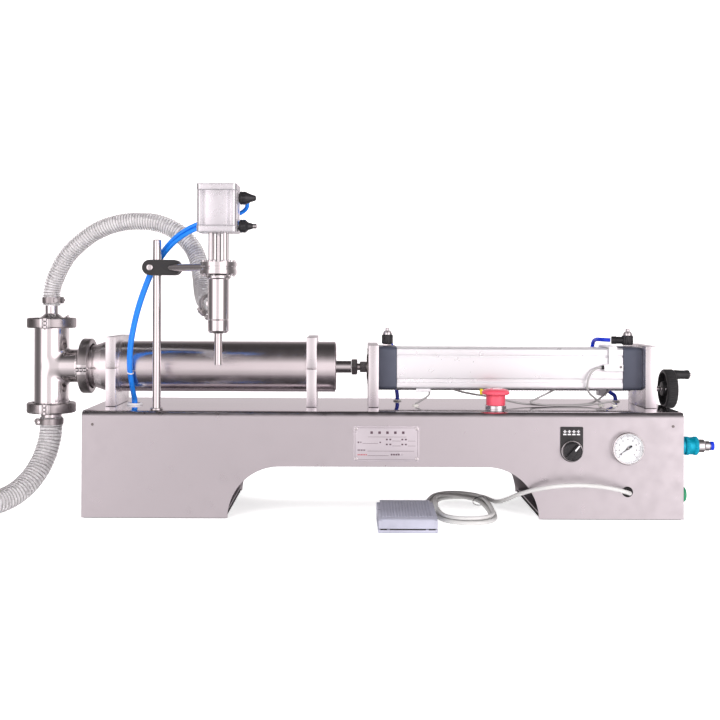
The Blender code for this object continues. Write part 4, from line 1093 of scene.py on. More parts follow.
def filling_valve():
    turned("post_bar", [(0, 396), (5, 396), (6, 395), (6, 152.3), (0, 152.3)], (*POST, 0), "root",
           "pipe_steel", "polished_steel", ("post",), steps=48, edge=0.3)
    turned("post_collar", [(6.1, 155.4), (8.6, 155.4), (9.2, 154.8), (9.2, 152.2), (6.1, 152.2)], (*POST, 0),
           "root", "turned_steel", "machined_steel", steps=48, ring=True)
    arm_way = Vector((VALVE[0] - POST[0] - 20, VALVE[1] - POST[1] + 8, 0)).normalized()
    arm_from = Vector((POST[0] + 20, POST[1] - 8, ARM_Z))
    reach = (Vector((*VALVE, ARM_Z)) - arm_from).length

    outline = arc((-7.5, 0), 11, -90, -270, 20) + arc((26, 0), 11, 90, 60, 3) + [(35, 5.6), (35, -5.6)]
    outline += arc((26, 0), 11, -60, -90, 3)
    clamp = shaped(
        "post_clamp_body",
        lambda bm: prism(bm, outline, -12, 12, "XZ", (POST[0] - 1, POST[1] - 1, ARM_Z + 0.5)), 2.6,
        [
            lambda bm: add_rod(bm, 6.2, 330, 380, (*POST, 0), steps=40, chamfer=0),
            lambda bm: add_rod(bm, 5.4, -4, reach, arm_from, arm_way, 32, chamfer=0),
        ], 4, 40,
    )
    finished(clamp, "valve_head", "black_plastic", "black_plastic", "post_clamp")
    screws("post_clamp_screw", 4.4, 2.6, [(POST[0] - 8.3, POST[1] - 12.6, ARM_Z + 0.5)], (0, -1, 0),
           "valve_head")
    screws("arm_screw", 2.6, 2.0, [(POST[0] + 27, POST[1] - 12.4, ARM_Z + 0.5)], (0, -1, 0), "valve_head",
           "dark_steel")

    def yoke(bm):
        spin(bm, [(4.6, 362), (25, 362), (25, 356.4), (24, 355.4), (24, 352.6), (25, 351.6), (25, 346),
                  (23, 343.9), (4.6, 343.9)], (*VALVE, 0), "Z", 96, ring=True)
        spin(bm, [(0, reach - 15), (5.25, reach - 15), (5.25, 1), (4.4, 0), (0, 0)], arm_from, arm_way, 40)
        for dx in (-1, 1):
            for dy in (-1, 1):
                leg = (VALVE[0] + LEG_SPACING * dx, VALVE[1] + LEG_SPACING * dy, 0)
                add_rod(bm, 3.0, 356, 402.2, leg, steps=28)
                add_rod(bm, 4.4, 362, 364.4, leg, steps=24)
    finished(mesh_from("yoke_and_legs", yoke), "valve_head", "pipe_steel", "machined_steel", "valve_yoke")
    ring = [(VALVE[0] + 21.6 * math.cos(a), VALVE[1] + 21.6 * math.sin(a))
            for a in (math.radians(20 + 60 * i) for i in range(6))]
    screws("yoke_screws_top", 2.3, 3.4, [(x, y, 361.6) for x, y in ring], "Z", "valve_head")
    screws("yoke_screws_below", 2.0, 2.2, [(x, y, 344.6) for x, y in ring], (0, 0, -1), "valve_head")
    turned(
        "nozzle_tube",
        [
            (4.6, 343.6), (17.2, 343.6), (17.2, 340), (14.5, 338.6), (14.5, 284), (13.9, 283), (14.5, 282),
            (14.5, 268), (12, 265), (5.45, 264), (5.45, 221), (3.6, 221), (3.6, 266), (9.5, 271),
            (9.5, 338), (4.6, 338),
        ],
        (*VALVE, 0), "valve_head", "pipe_steel", "polished_steel", ("nozzle_body",), steps=80, ring=True,
        edge=0.35,
    )
    barb_way = Vector((-0.45, 0.893, 0)).normalized()
    barb = [(0, 31.5), (6.6, 31.5), (8.0, 29)]
    for step in range(4):
        barb += [(8.2, 27.5 - 4 * step), (7.1, 26.6 - 4 * step), (8.2, 24.4 - 4 * step)]
    turned("nozzle_barb", barb + [(8, 11), (0, 11)], (*VALVE, 304.5), "valve_head", "pipe_steel",
           "polished_steel", along=barb_way, steps=40, edge=0)
    worm_clamp("worm_clamp_nozzle", moved((*VALVE, 304.5), barb_way, 36.0), barb_way, 13.1,
               (-0.6, -0.3, -0.74), "valve_head")
    turned("valve_stem_rod", [(0, 407), (3.4, 407), (3.9, 406.4), (3.9, 276), (6.5, 275), (6.5, 271.6),
                              (3, 267.2), (0, 267.2)], (*VALVE, 0), "stem", "bright_screw", "machined_steel",
           ("valve_stem",), steps=32, edge=0.2)
    actuator()


def slotted(half, corner, grooves, depth):
    """A square outline with rounded corners and shallow grooves at given places along each side."""
    side = [(-half + corner, -half)]
    for place, width in grooves:
        side += [(place - width / 2, -half), (place - width / 2 + 0.5, -half + depth),
                 (place + width / 2 - 0.5, -half + depth), (place + width / 2, -half)]
    side += [(half - corner, -half)]
    side += arc((half - corner, -half + corner), corner, -90, 0, 5)[1:-1]
    outline = []
    for turn in range(4):
        c, s = round(math.cos(turn * math.pi / 2)), round(math.sin(turn * math.pi / 2))
        outline += [(c * u - s * v, s * u + c * v) for u, v in side]
    return outline


def actuator():
    low, high = span("valve_actuator")
    half = (high.x - low.x) / 2
    grooves = ((-17, 4.6), (17, 4.6))
    outline = [(VALVE[0] + u, VALVE[1] + v) for u, v in slotted(half - 0.6, 5.0, grooves, 2.4)]
    bore = [lambda bm: add_rod(bm, 6.0, low.z - 8, 424, (*VALVE, 0), steps=32, chamfer=0)]
    body = shaped("actuator_barrel", lambda bm: prism(bm, outline, low.z + 9, high.z - 9), 0.3, bore)
    finished(body, "valve_head", "anodised_upright", "anodised_aluminium", "valve_actuator")
    caps = [(VALVE[0] + u, VALVE[1] + v) for u, v in slotted(half, 5.6, (), 0)]

    def ends(bm):
        prism(bm, caps, low.z, low.z + 8.8)
        prism(bm, caps, high.z - 8.8, high.z - 0.1)
    finished(shaped("actuator_ends", ends, 0.8, bore), "valve_head", "anodised_upright", "anodised_aluminium")
    spots = [(VALVE[0] + 20 * dx, VALVE[1] + 20 * dy) for dx in (-1, 1) for dy in (-1, 1)]
    screws("actuator_screws", 3.2, 0.7, [(x, y, high.z - 0.8) for x, y in spots], "Z", "valve_head")
    side = high.x + 0.3
    lower_z, lower_reach = 411.5, 20.0
    for name, z, reach in (("actuator_fitting_upper", 450.0, 23.5),
                           ("actuator_fitting_lower", lower_z, lower_reach)):
        turned(
            name + "_elbow",
            [(0, side + reach), (2.6, side + reach), (3.8, side + reach - 1.5), (5.4, side + reach - 7),
             (8.8, side + 9.5), (9.2, side + 7), (8.8, side + 5), (9.2, side + 3.5), (8.8, side + 1.6),
             (6.5, side + 1.4), (6.5, side), (0, side)],
            (0, VALVE[1], z), "valve_head", "black_gloss", "black_plastic", (name,), "X", 40, edge=0.3,
            wobble=lambda a, r: r - (0.3 if r > 7 and math.cos(16 * a) > 0 else 0),
        )
        turned(name + "_thread", [(0, side + 2.4), (5.2, side + 2.4), (5.2, side - 0.2), (0, side - 0.2)],
               (0, VALVE[1], z), "valve_head", "bright_screw", "machined_steel", along="X", steps=32)
        turned(name + "_collet", [(3.1, 9.6), (5.0, 9.6), (5.2, 9.0), (5.2, 0), (3.1, 0)],
               (-190.5, VALVE[1], z), "valve_head", "azure", "azure_tube", along=(0, 1, 0), steps=32,
               ring=True)
    tip = side + lower_reach
    plug = [(0, tip + 4.6), (2.6, tip + 4.6), (3.3, tip + 3.8), (3.3, tip - 0.6), (0, tip - 0.6)]
    turned("actuator_fitting_plug", plug, (0, VALVE[1], lower_z), "valve_head", "bright_screw",
           "machined_steel", along="X", steps=32, edge=0.3)


# ------------------------------------------------------------------------------------------
# air cylinder and stroke adjuster

SCREW_AT = (0, 42.0, 174.0)


def air_cylinder():
    low, high = span("barrel")
    half = (high.y - low.y) / 2
    outline = [(u, AXIS_Z + v) for u, v in slotted(half, 3.6, ((-18.4, 3.4), (18.0, 6.5)), 1.1)]
    barrel = shaped("cylinder_barrel", lambda bm: prism(bm, outline, low.x, high.x, "YZ"), 0.3)
    finished(barrel, "root", "anodised", "anodised_aluminium", "barrel")
    for name in ("front_cap", "rear_cap"):
        low, high = span(name)
        half = (high.y - low.y) / 2
        cap = shaped(
            name + "_casting",
            lambda bm: prism(bm, [(u, AXIS_Z + v) for u, v in slotted(half, 6.0, (), 0)],
                             low.x, high.x, "YZ"), 0.9,
        )
        finished(cap, "root", "slate", "slate_cap", name)
    for name, outer, way in (("front_plate", -19.3, -1), ("rear_plate", 405.8, 1)):
        low, high = span(name)
        left = max(low.x, -19.3)
        plate = shaped(
            name + "_block", lambda bm: cuboid(bm, (left, low.y, low.z), high), 0.8,
            [lambda bm: add_rod(bm, 4.7, -14.3 if way < 0 else 380, 420, SCREW_AT, "X", 32, 0)],
        )
        finished(plate, "root", "milled_plate", "machined_steel", name)
        places = [(outer, y, z) for y in (-23, 23) for z in (AXIS_Z - 23, AXIS_Z + 23)]
        screws(name + "_bolts", 4.6, 0.9, places, (way, 0, 0), "root")
    turned("rod_bush", [(8.5, -21.3), (18.9, -21.3), (19.5, -20.7), (19.5, -19.2), (8.5, -19.2)],
           (0, 0, AXIS_Z), "root", "dark_steel", "machined_steel", along="X", steps=64, ring=True, edge=0.2)

    def rod_and_nuts(bm):
        spin(bm, [(0, 355), (24.4, 355), (24.4, 325), (8, 325), (8, -21.8), (0, -21.8)],
             (0, 0, AXIS_Z), "X", 64)
        hexagon(bm, 23.0, -44.3, -35.5, (0, 0, AXIS_Z), "X")
        hexagon(bm, 16.0, -31.6, -21.8, (0, 0, AXIS_Z), "X")
        thread = [(0, -31.0)]
        for i in range(4):
            thread += [(5.6, -31.2 - 1.1 * i), (4.9, -31.75 - 1.1 * i)]
        spin(bm, thread + [(5.6, -35.7), (0, -35.7)], (0, 0, AXIS_Z), "X", 32)
    finished(mesh_from("piston_rod_and_nuts", rod_and_nuts), "piston_train", "turned_steel", "machined_steel",
             "drive_rod")
    port_fitting("port_fitting_front", 10.0, (0.12, 1, 0))
    port_fitting("port_fitting_rear", 375.0, (-1, 0.25, 0))


def port_fitting(name, x, outlet):
    """A banjo fitting: hexagon, knurled black collar, side outlet and a bright flow screw."""
    low = AXIS_Z + 32.3
    side = Vector(outlet).normalized()

    def plastic(bm):
        spin(bm, [(0, low + 17), (7.4, low + 17), (8.5, low + 15.5), (8.5, low + 4), (7.6, low + 3),
                  (0, low + 3)],
             (x, 0, 0), "Z", 72, wobble=lambda a, r: r - (0.5 if r > 8 and math.cos(18 * a) > 0 else 0))
        add_rod(bm, 5.5, 0, 18, (x, 0, low + 9.5), side, 40, 0.6)
        add_rod(bm, 6.0, 16, 24.2, (x, 0, low + 9.5), side, 40, 1.0)
    finished(mesh_from(name + "_body", plastic), "root", "black_gloss", "black_plastic", name)

    def bright(bm):
        hexagon(bm, 12.6, low - 0.1, low + 3.2, (x, 0, 0), "Z")
        spin(bm, [(0, low + 27), (2.6, low + 27), (3.0, low + 26.4), (3.0, low + 23), (5.4, low + 22),
                  (6.8, low + 19), (6.8, low + 16.8), (0, low + 16.8)], (x, 0, 0), "Z", 40)
    finished(mesh_from(name + "_metal", bright), "root", "bright_screw", "machined_steel")


def stroke_adjuster():
    thread = [(0, 452), (3.0, 452)]
    pitch = 2.5
    for i in range(int((452 + 13) / pitch) - 1):
        top = 451.0 - i * pitch
        thread += [(4.0, top - 0.4), (4.0, top - 1.2), (3.3, top - 1.7), (3.3, top - 2.4)]
    thread += [(3.0, -13), (0, -13)]
    turned("threaded_screw", thread, SCREW_AT, "adjuster", "turned_steel", "machined_steel",
           ("lead_screw",), "X", 20, edge=0)

    def ribs(angle, radius):
        return radius - (0.55 if radius > 29.0 and math.cos(60 * angle) > 0.1 else 0.0)
    turned(
        "wheel",
        [
            (4.2, 457.5), (24, 457.5), (28.3, 457.5), (30.3, 455.5), (30.3, 442.7), (28.3, 440.7),
            (25.3, 440.7), (24.3, 449), (12, 449), (11, 439), (4.2, 439),
        ],
        SCREW_AT, "adjuster", "black_plastic", "black_plastic", ("handwheel",), "X", 240, True, 0.6, ribs,
    )
    turned("wheel_nut", [(0, 437.6), (2.2, 437.6), (4.1, 438.2), (4.1, 440), (0, 440)], SCREW_AT, "adjuster",
           "bright_screw", "machined_steel", along="X", steps=32)
    screws("wheel_set_screw", 2.2, 1.2, [(444.0, SCREW_AT[1] - 11.4, SCREW_AT[2])], (0, -1, 0), "adjuster")
    grip_at = (0, SCREW_AT[1], SCREW_AT[2] + 22)
    turned("grip_spindle", [(0, 484.3), (2.6, 484.3), (3.2, 483.4), (3.2, 455), (0, 455)], grip_at,
           "adjuster", "bright_screw", "machined_steel", along="X", steps=32, edge=0.3)
    turned(
        "grip",
        [(3.6, 482), (6.0, 482), (7.3, 480.4), (6.7, 474), (6.8, 467), (7.4, 460), (6.4, 458), (3.6, 458)],
        grip_at, "grip", "black_plastic", "black_plastic", ("crank_grip",), "X", 56, True, 1.2,
    )
    carriage()


def carriage():
    strap = [(-35, 212)] + arc((-31, 239.2), 4, 180, 90, 5) + arc((32.5, 239.2), 4, 90, 0, 5)
    strap += [(36.5, 184.5), (51, 184.5), (51, 163.5), (31.8, 163.5), (31.8, 240.2), (-31.2, 240.2),
              (-31.2, 212)]
    body = shaped(
        "carriage_strap", lambda bm: prism(bm, strap, 339, 351, "YZ"), 0.5,
        [lambda bm: add_rod(bm, 4.7, 330, 360, SCREW_AT, "X", 32, 0)],
    )
    finished(body, "carriage", "white_plastic", "white_plastic", "sensor_carriage")
    block = shaped("stroke_sensor",
                   lambda bm: cuboid(bm, (331, -38.5, 205.6), (359.5, -31.0, 216.6)), 1.6, (), 3)
    finished(block, "carriage", "white_plastic", "white_plastic")
    turned("sensor_gland", [(0, 331.5), (3.2, 331.5), (3.2, 329.5), (2.2, 327.5), (0, 327.5)],
           (0, -34.6, 211.5), "carriage", "black_gloss", "black_plastic", along="X", steps=28)
    screws("sensor_screw", 2.0, 0.8, [(355.4, -38.3, 212.4)], (0, -1, 0), "carriage", "dark_steel")


# ------------------------------------------------------------------------------------------
# sensor cables under the barrel

CARRIAGE_CABLE = [
    (327.6, -34.6, 211.5), (322.5, -34.8, 211.0), (314.5, -35.5, 206.5), (309.0, -36.2, 198.0),
    (306.6, -36.0, 188.0), (307.0, -34.8, 179.5), (311.0, -31.0, 172.5), (318.0, -24.0, 166.8),
    (326.0, -15.5, 161.2), (331.5, -9.0, 157.5), (334.0, -6.0, 155.5), (334.0, -6.0, 152.4),
]
REED_CABLE = [
    (66, -27.0, 176.6), (72, -27.2, 174.0), (71, -27.0, 168.5), (63, -25.5, 162.5), (55.5, -23.0, 157.5),
    (52, -21.5, 155.5), (52, -21.5, 152.4),
]
SLACK_CABLE = [
    (105.0, -6, 178.0), (110.0, -6, 176.0), (124, -6.5, 171.8), (142, -8, 168.5), (160, -11, 166.0),
    (178, -14, 163.0), (196, -17, 158.8), (216, -19.5, 155.6), (240, -21, 154.2), (266, -21, 153.8),
    (292, -19.5, 154.2), (312, -14, 155.4), (326, -4, 158.6), (337, 6.5, 163.5), (346.5, 11.5, 170.0),
    (352.0, 12.5, 175.6), (353.5, 12.5, 178.2),
]
RISING_CABLE = [
    (352.5, -14.0, 152.4), (352.5, -14.0, 155.4), (344, -16.5, 158.5), (326, -21.5, 156.4),
    (300, -24.6, 153.9), (272, -26.0, 153.6), (246, -26.2, 154.6), (224, -24.5, 158.2),
    (236, -20.6, 164.8), (251, -17.5, 171.5), (260.0, -16.0, 176.2), (262.0, -15.8, 178.2),
]


def cable(name, route, body):
    points = smooth(route, 2.0)
    piece = mesh_from(name, lambda bm: sweep(bm, points, CABLE_R, 10), 60)
    finished(piece, body, "cable_sheath", "cord_grey")
    return piece


def sensor_cables():
    moving = cable("carriage_cable", CARRIAGE_CABLE, None)
    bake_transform(moving)
    cable("reed_cable", REED_CABLE, "root")
    cable("slack_cable", SLACK_CABLE, "root")
    cable("rising_cable", RISING_CABLE, "root")
    reed = shaped("reed_switch", lambda bm: cuboid(bm, (52, -30.0, 173.6), (74, -24.5, 178.2)), 1.0, (), 2)
    finished(reed, "root", "white_plastic", "white_plastic")

    def bushes(bm):
        for x, y in ((334.0, -6.0), (52.0, -21.5), (352.5, -14.0), (28.0, 56.5), (372.0, 60.0)):
            r = 4.2 if y > 50 else 2.6
            spin(bm, [(r - 1.1, 154.2), (r + 0.6, 154.2), (r + 2.2, 153.0), (r + 2.2, 152.1),
                      (r - 1.1, 152.1)], (x, y, 0), "Z", 40, ring=True)
    finished(mesh_from("top_bushes", bushes), "root", "seal", "white_plastic")
    marker = shaped("lead_tag", lambda bm: cuboid(bm, (147.5, -28, 170.0), (152.5, -24, 178.3)), 0.8, (), 3)
    finished(marker, "root", "yellow", "green_plastic")

    def grommet(bm):
        spin(bm, [(8.2, 155.4), (10.4, 155.2), (11.6, 153.6), (11.6, 152.1), (8.2, 152.1)],
             (-369, -24, 0), "Z", 56, ring=True)
    finished(mesh_from("tube_grommet", grommet), "root", "white_plastic", "white_plastic")
    pair = smooth(AIR_ROUTE, 3.0)
    spot = min(range(len(pair)), key=lambda i: abs(pair[i].z - 200.5))
    way = (pair[spot + 1] - pair[spot - 1]).normalized()
    sideways = way.cross(PAIR_ACROSS).normalized()
    third = way.cross(sideways)
    loop = [pair[spot] + sideways * 6.9 * math.cos(a) + third * 3.7 * math.sin(a)
            for a in (2 * math.pi * i / 32 for i in range(33))]
    tie = mesh_from("tube_tie", lambda bm: sweep(bm, loop, 1.0, 8), 60)
    finished(tie, "root", "white_plastic", "white_plastic")


# ------------------------------------------------------------------------------------------
# controls


FRONT = -110.3  # just proud of the housing's front sheet
SELECTOR_ANGLE = -40.0
NEEDLE_ANGLE = 126.0


def controls():
    emergency_stop()
    selector()
    gauge()
    grommet = [(3.3, 8), (4.4, 8), (4.9, 7), (5.2, 3.2), (7.0, 2.6), (7.4, 1.6), (7.4, 0), (3.3, 0)]
    turned("cord_bush", grommet, (CORD_X, FRONT, CORD_Z), "root", "rubber", "black_rubber", ("cord_grommet",),
           (0, -1, 0), 56, True, 0.3)
    air_inlet()


def emergency_stop():
    x, y = 163.6, -84.0
    place = (x, y, 0)
    turned("estop_ring",
           [(14.3, 160), (14.8, 160), (15.2, 159.4), (15.2, 154.6), (14.6, 154.2), (15.2, 153.8),
            (15.2, 152.3), (11, 152.3), (11, 118), (8.6, 118), (8.6, 154), (14.3, 154)],
           place, "root", "bright_screw", "machined_steel", ("estop_body",), steps=72, ring=True, edge=0.25)
    turned("estop_skirt",
           [(0, 174.9), (13.2, 174.9), (13.9, 174), (13.7, 158.8), (8, 158.6), (8, 134), (0, 134)], place,
           "estop_plunger", "red", "red_plastic", ("estop_stem",), steps=72, edge=0.4)

    def dents(angle, radius):
        return radius - (0.4 if 19.0 < radius and math.cos(24 * angle) > 0.55 else 0.0)
    turned("estop_mushroom_cap",
           [(0, 184.3), (6, 184.2), (12, 183.7), (17, 182.2), (19.4, 180), (20, 178), (19.6, 176.4),
            (18, 175.2), (12, 175), (0, 175)],
           place, "estop_mushroom", "red", "red_plastic", ("estop_head",), steps=144, edge=0.6, wobble=dents)

    def arrows(bm):
        for k in range(3):
            base = math.radians(120 * k)
            inner = [(9.0 * math.cos(base + t), 9.0 * math.sin(base + t)) for t in np.linspace(0, 1.1, 9)]
            outer = [(11.2 * math.cos(base + t), 11.2 * math.sin(base + t)) for t in np.linspace(1.1, 0, 9)]
            tip = [(8.0 * math.cos(base + 1.1), 8.0 * math.sin(base + 1.1)),
                   (10.1 * math.cos(base + 1.5), 10.1 * math.sin(base + 1.5)),
                   (12.2 * math.cos(base + 1.1), 12.2 * math.sin(base + 1.1))]
            prism(bm, [(x + u, y + v) for u, v in inner + tip + outer], 183.2, 184.45)
    finished(mesh_from("estop_arrows", arrows), "estop_mushroom", "white_plastic", "white_plastic")


def selector():
    x, z = 268.0, 98.0
    outline = [(-16, 33.2), (-15.2, 34), (15.2, 34), (16, 33.2)] + arc((0, 0), 16, 0, -180, 28)
    plate = shaped(
        "selector_label", lambda bm: prism(bm, outline, FRONT - 2, FRONT, "XZ", (x, 0, z)), 0.4,
        [lambda bm: add_rod(bm, 8.0, -6, 6, (x, FRONT, z), (0, 1, 0), 40, 0)],
    )
    finished(plate, "root", "black_plastic", "black_plastic", "selector_plate")

    def marks(bm):
        for i in range(4):
            left = -12.4 + i * 6.4
            cuboid(bm, (x + left, FRONT - 2.25, z + 22.5), (x + left + 4.6, FRONT - 1.95, z + 24.2))
            cuboid(bm, (x + left + 1.6, FRONT - 2.25, z + 25.2), (x + left + 3.2, FRONT - 1.95, z + 29.6))
            cuboid(bm, (x + left, FRONT - 2.25, z + 26.8), (x + left + 4.6, FRONT - 1.95, z + 28.0))
    finished(mesh_from("selector_marks", marks), "root", "white_plastic", "white_plastic")
    turned("selector_bezel",
           [(12.6, 2.0), (14.9, 2.0), (15.2, 3.0), (14.9, 5.0), (14.2, 5.6), (13.4, 5.2), (12.6, 4.0)],
           (x, FRONT, z), "root", "bright_screw", "machined_steel", along=(0, -1, 0), steps=72, ring=True)
    turned("selector_shaft", [(0, 3.2), (7, 3.2), (7, -16), (0, -16)], (x, FRONT, z), "selector",
           "black_plastic", "black_plastic", along=(0, -1, 0), steps=40)
    turned("selector_cap", [(0, 12.6), (11.0, 12.6), (13.2, 11.4), (13.6, 6.0), (13.0, 3.2), (0, 3.2)],
           (x, FRONT, z), "selector", "black_gloss", "black_plastic", ("selector_knob",), (0, -1, 0), 72)
    bar = spun([(-3.6, -12), (-1.2, -13.4), (1.2, -13.4), (3.6, -12), (3.0, 11), (0, 14.2), (-3.0, 11)],
               SELECTOR_ANGLE)
    grip = shaped("selector_grip",
                  lambda bm: prism(bm, bar, FRONT - 18, FRONT - 12, "XZ", (x, 0, z)), 1.0, (), 3)
    finished(grip, "selector", "black_gloss", "black_plastic")
    mark = spun([(-0.95, 2.6), (0.95, 2.6), (0.95, 12.2), (-0.95, 12.2)], SELECTOR_ANGLE)
    line = mesh_from("selector_line",
                     lambda bm: prism(bm, mark, FRONT - 18.3, FRONT - 17.8, "XZ", (x, 0, z)))
    finished(line, "selector", "white_plastic", "white_plastic")


def gauge():
    x, z = 347.2, 102.0
    place, way = (x, FRONT, z), (0, -1, 0)
    turned("gauge_bezel",
           [(20.2, 1.5), (20.4, 7.0), (21.0, 8.6), (22.2, 8.8), (23.1, 7.6), (23.3, 5), (23.3, 0), (20, 0),
            (20, -24), (0, -24), (0, -23), (18, -23), (18, 1.5)],
           place, "root", "bright_screw", "machined_steel", ("gauge_case",), way, 112, True, 0.4)
    turned("gauge_dial", [(0, 2.4), (20.2, 2.4), (20.2, 1.2), (0, 1.2)], place, "root", "dial",
           "white_plastic", along=way, steps=72, edge=0)

    def ticks(bm):
        rim = 18.6
        for i in range(41):
            a = math.radians(225 - 270 * i / 40)
            inner, wide = (15.4, 0.55) if i % 5 == 0 else (17.0, 0.28)
            reach = (inner + rim) / 2
            centre = Vector((x + reach * math.cos(a), FRONT - 2.5, z + reach * math.sin(a)))
            out = Vector((math.cos(a), 0, math.sin(a)))
            add_block(bm, centre, (rim - inner, 0.3, wide), (out, (0, 1, 0), out.cross((0, 1, 0))))
        for i in range(9):
            a = math.radians(225 - 270 * i / 8)
            centre = Vector((x + 12.6 * math.cos(a), FRONT - 2.5, z + 12.6 * math.sin(a)))
            add_block(bm, centre, (1.3, 0.3, 1.7), ((1, 0, 0), (0, 1, 0), (0, 0, 1)))
    finished(mesh_from("gauge_ticks", ticks), "root", "label_ink", "black_plastic")
    hand = spun([(-1.2, -6.5), (1.2, -6.5), (1.5, -3), (0.7, 0), (0.35, 15.5), (-0.35, 15.5), (-0.7, 0),
                 (-1.5, -3)], NEEDLE_ANGLE)
    needle = mesh_from("gauge_hand", lambda bm: prism(bm, hand, FRONT - 4.5, FRONT - 3.9, "XZ", (x, 0, z)))
    finished(needle, "needle", "black_gloss", "black_plastic", "gauge_needle")
    turned("gauge_hub", [(0, 5.6), (1.6, 5.4), (2.1, 4.6), (2.1, 3.2), (0, 3.2)], place, "needle",
           "dark_steel", "machined_steel", along=way, steps=32, edge=0.2)
    turned("gauge_glass", [(0, 7.4), (20.6, 7.4), (20.6, 6.6), (0, 6.6)], place, "root", "glass",
           "clear_hose", along=way, steps=72, edge=0)


def air_inlet():
    wall = HOUSING_HALF_X - 1.0
    place = (0, -60.0, 99.0)
    turned("inlet_body",
           [(4.2, 486), (5.0, 486), (5.4, 485), (5.4, 480), (7.2, 479), (7.2, 473), (9.6, 471),
            (9.6, wall + 12), (11.5, wall + 11), (11.5, wall + 0.3), (10, wall + 0.3), (10, wall - 22),
            (4.2, wall - 22)],
           place, "root", "bright_screw", "machined_steel", ("slide_valve_body",), "X", 72, True, 0.3)
    turned("inlet_plug_ring",
           [(4.4, 486.0), (6.2, 486.0), (6.4, 485.2), (6.4, 481.2), (5.5, 481.0), (4.4, 481.0)],
           place, "root", "royal", "royal_tube", along="X", steps=48, ring=True, edge=0.2)

    def knurl(angle, radius):
        return radius - (0.45 if radius > 13.2 and math.cos(36 * angle) > 0 else 0.0)
    turned("inlet_sleeve",
           [(10.2, 462), (12.4, 462), (13.4, 461), (13.7, 460.4), (13.7, 456.4), (12.9, 455.9), (12.9, 449.1),
            (13.7, 448.6), (13.7, 444.4), (12.7, 443), (10.2, 443)],
           place, "slide_sleeve", "cyan", "cyan_metal", ("slide_valve_sleeve",), "X", 144, True, 0.3, knurl)
    turned("inlet_collar",
           [(9.7, 442.4), (12.6, 442.4), (13.2, 441.6), (13.2, wall + 3), (12.4, wall + 2), (9.7, wall + 2)],
           place, "root", "cyan", "cyan_metal", along="X", steps=72, ring=True, edge=0.3)
    button = (0, -70.0, 30.0)
    turned("start_button_cap",
           [(0, wall + 16), (5, wall + 15.8), (9.5, wall + 14.8), (11.2, wall + 13), (11.5, wall + 11),
            (11.5, wall + 4.5), (8, wall + 4.5), (8, wall - 16), (0, wall - 16)],
           button, "start_button", "green", "green_plastic", ("push_button",), "X", 72, edge=0.8)
    turned("button_collar",
           [(12.0, wall + 3.0), (13.0, wall + 3.0), (13.8, wall + 2.0), (13.8, wall), (12.0, wall)],
           button, "root", "bright_screw", "machined_steel", along="X", steps=72, ring=True)


# ------------------------------------------------------------------------------------------
# foot switch


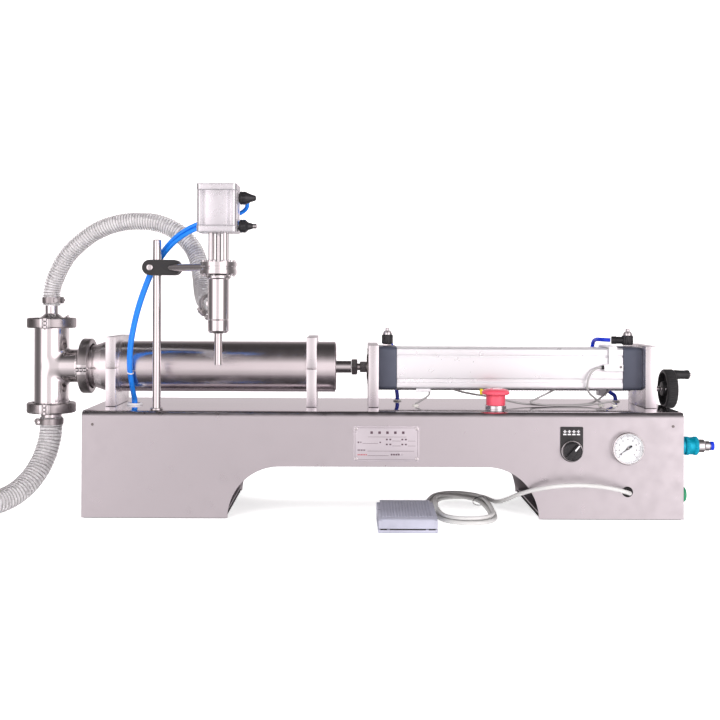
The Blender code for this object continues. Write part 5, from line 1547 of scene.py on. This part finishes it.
def foot_switch():
    low, high = span("footswitch_base")
    x0, x1, y0 = low.x, high.x, low.y
    y1 = -106.0  # the casting's back wall, which the gland is screwed into
    lip = y0 + 1.4  # the pedal's front hangs down before it and clears it when pressed
    side = [(lip + 1, 0.0), (lip, 1.0), (lip, 4.6), (lip + 1.2, 5.8), (y1 - 22, 7), (y1 - 16, 9),
            (y1 - 16, 22), (y1 - 3, 24), (y1, 22), (y1, 1.2), (y1 - 1.2, 0)]
    base = shaped(
        "footswitch_casting", lambda bm: prism(bm, side, x0, x1, "YZ"), 1.2,
        [lambda bm: cuboid(bm, (x0 + 4, y1 - 30, 8), (x1 - 4, y1 - 3, 40))], 3,
    )
    finished(base, "root", "grey_paint", "grey_plastic", "footswitch_base")
    turned("footswitch_gland",
           [(3.1, 10.4), (3.9, 10.4), (4.6, 8.6), (5.0, 2), (5.4, 1.4), (5.4, -1), (3.1, -1)],
           (45.0, y1, 9.0), "root", "rubber", "black_rubber", along=(0, 1, 0), steps=40, ring=True)
    front = y0 - 1.0
    pedal_side = [(front, 6.6), (front, 17.6), (front + 0.8, 19.2), (front + 3.4, 20.4), (y1 - 10, 28.2),
                  (y1 - 6, 27.6), (y1 - 4, 25.4), (y1 - 4, 14), (y1 - 9, 11), (y1 - 15, 13.5),
                  (front + 1.4, 12.5), (front + 1.4, 6.6)]
    pedal = shaped("pedal_plate", lambda bm: prism(bm, pedal_side, x0 + 4.5, x1 - 4.5, "YZ"), 0.8, (), 3)
    finished(pedal, "pedal", "grey_paint", "grey_plastic", "footswitch_pedal")

    def skirts(bm):
        for left, right in ((x0 + 0.3, x0 + 5.2), (x1 - 5.2, x1 - 0.3)):
            outline = [(front + 0.2, 6.7), (front + 0.2, 17.4), (y0 + 3, 20.1), (y1 - 26, 26.2),
                       (y1 - 25, 12.6), (front + 1.5, 12.6), (front + 1.4, 6.7)]
            prism(bm, outline, left, right, "YZ")
    finished(shaped("pedal_skirts", skirts, 0.9, (), 3), "pedal", "grey_paint", "grey_plastic")

    def ribs(bm):
        count = 17
        rise = (28.2 - 20.4) / (y1 - 10 - y0 - 3)
        slope = Vector((0, 1, rise)).normalized()
        for i in range(count):
            x = x0 + 7.2 + (x1 - x0 - 14.4) * i / (count - 1)
            from_y, to_y = y0 + 9, y1 - 14
            centre = (x, (from_y + to_y) / 2, 20.4 + rise * ((from_y + to_y) / 2 - y0 - 3) + 0.25)
            add_block(bm, centre, (1.9, to_y - from_y, 1.5),
                      ((1, 0, 0), slope, Vector((1, 0, 0)).cross(slope)))
    finished(shaped("pedal_ribs", ribs, 0.45, (), 2), "pedal", "grey_paint", "grey_plastic")

    # Painted shade: a near-black strip in the gap under the pedal's front, standing for the shade there.
    def slot(bm):
        for left, right in ((x0 + 3, x0 + 12), (x0 + 16, x1 - 16), (x1 - 12, x1 - 3)):
            cuboid(bm, (left, y0 + 1.3, 4.4), (right, y0 + 2.4, 6.0))
    finished(mesh_from("footswitch_gap_shade", slot), "root", "dark_inside", "black_plastic")
    turned("pedal_pin",
           [(0, x1 + 0.2), (2.4, x1 + 0.2), (2.8, x1 - 0.2), (2.8, x0 + 0.2), (2.4, x0 - 0.2),
            (0, x0 - 0.2)],
           (0, -112.0, 16.0), "root", "bright_screw", "machined_steel", along="X", steps=32, edge=0.2)


housing()
nameplate()
dosing_end()
flow_tee()
filling_valve()
air_cylinder()
stroke_adjuster()
sensor_cables()
controls()
foot_switch()
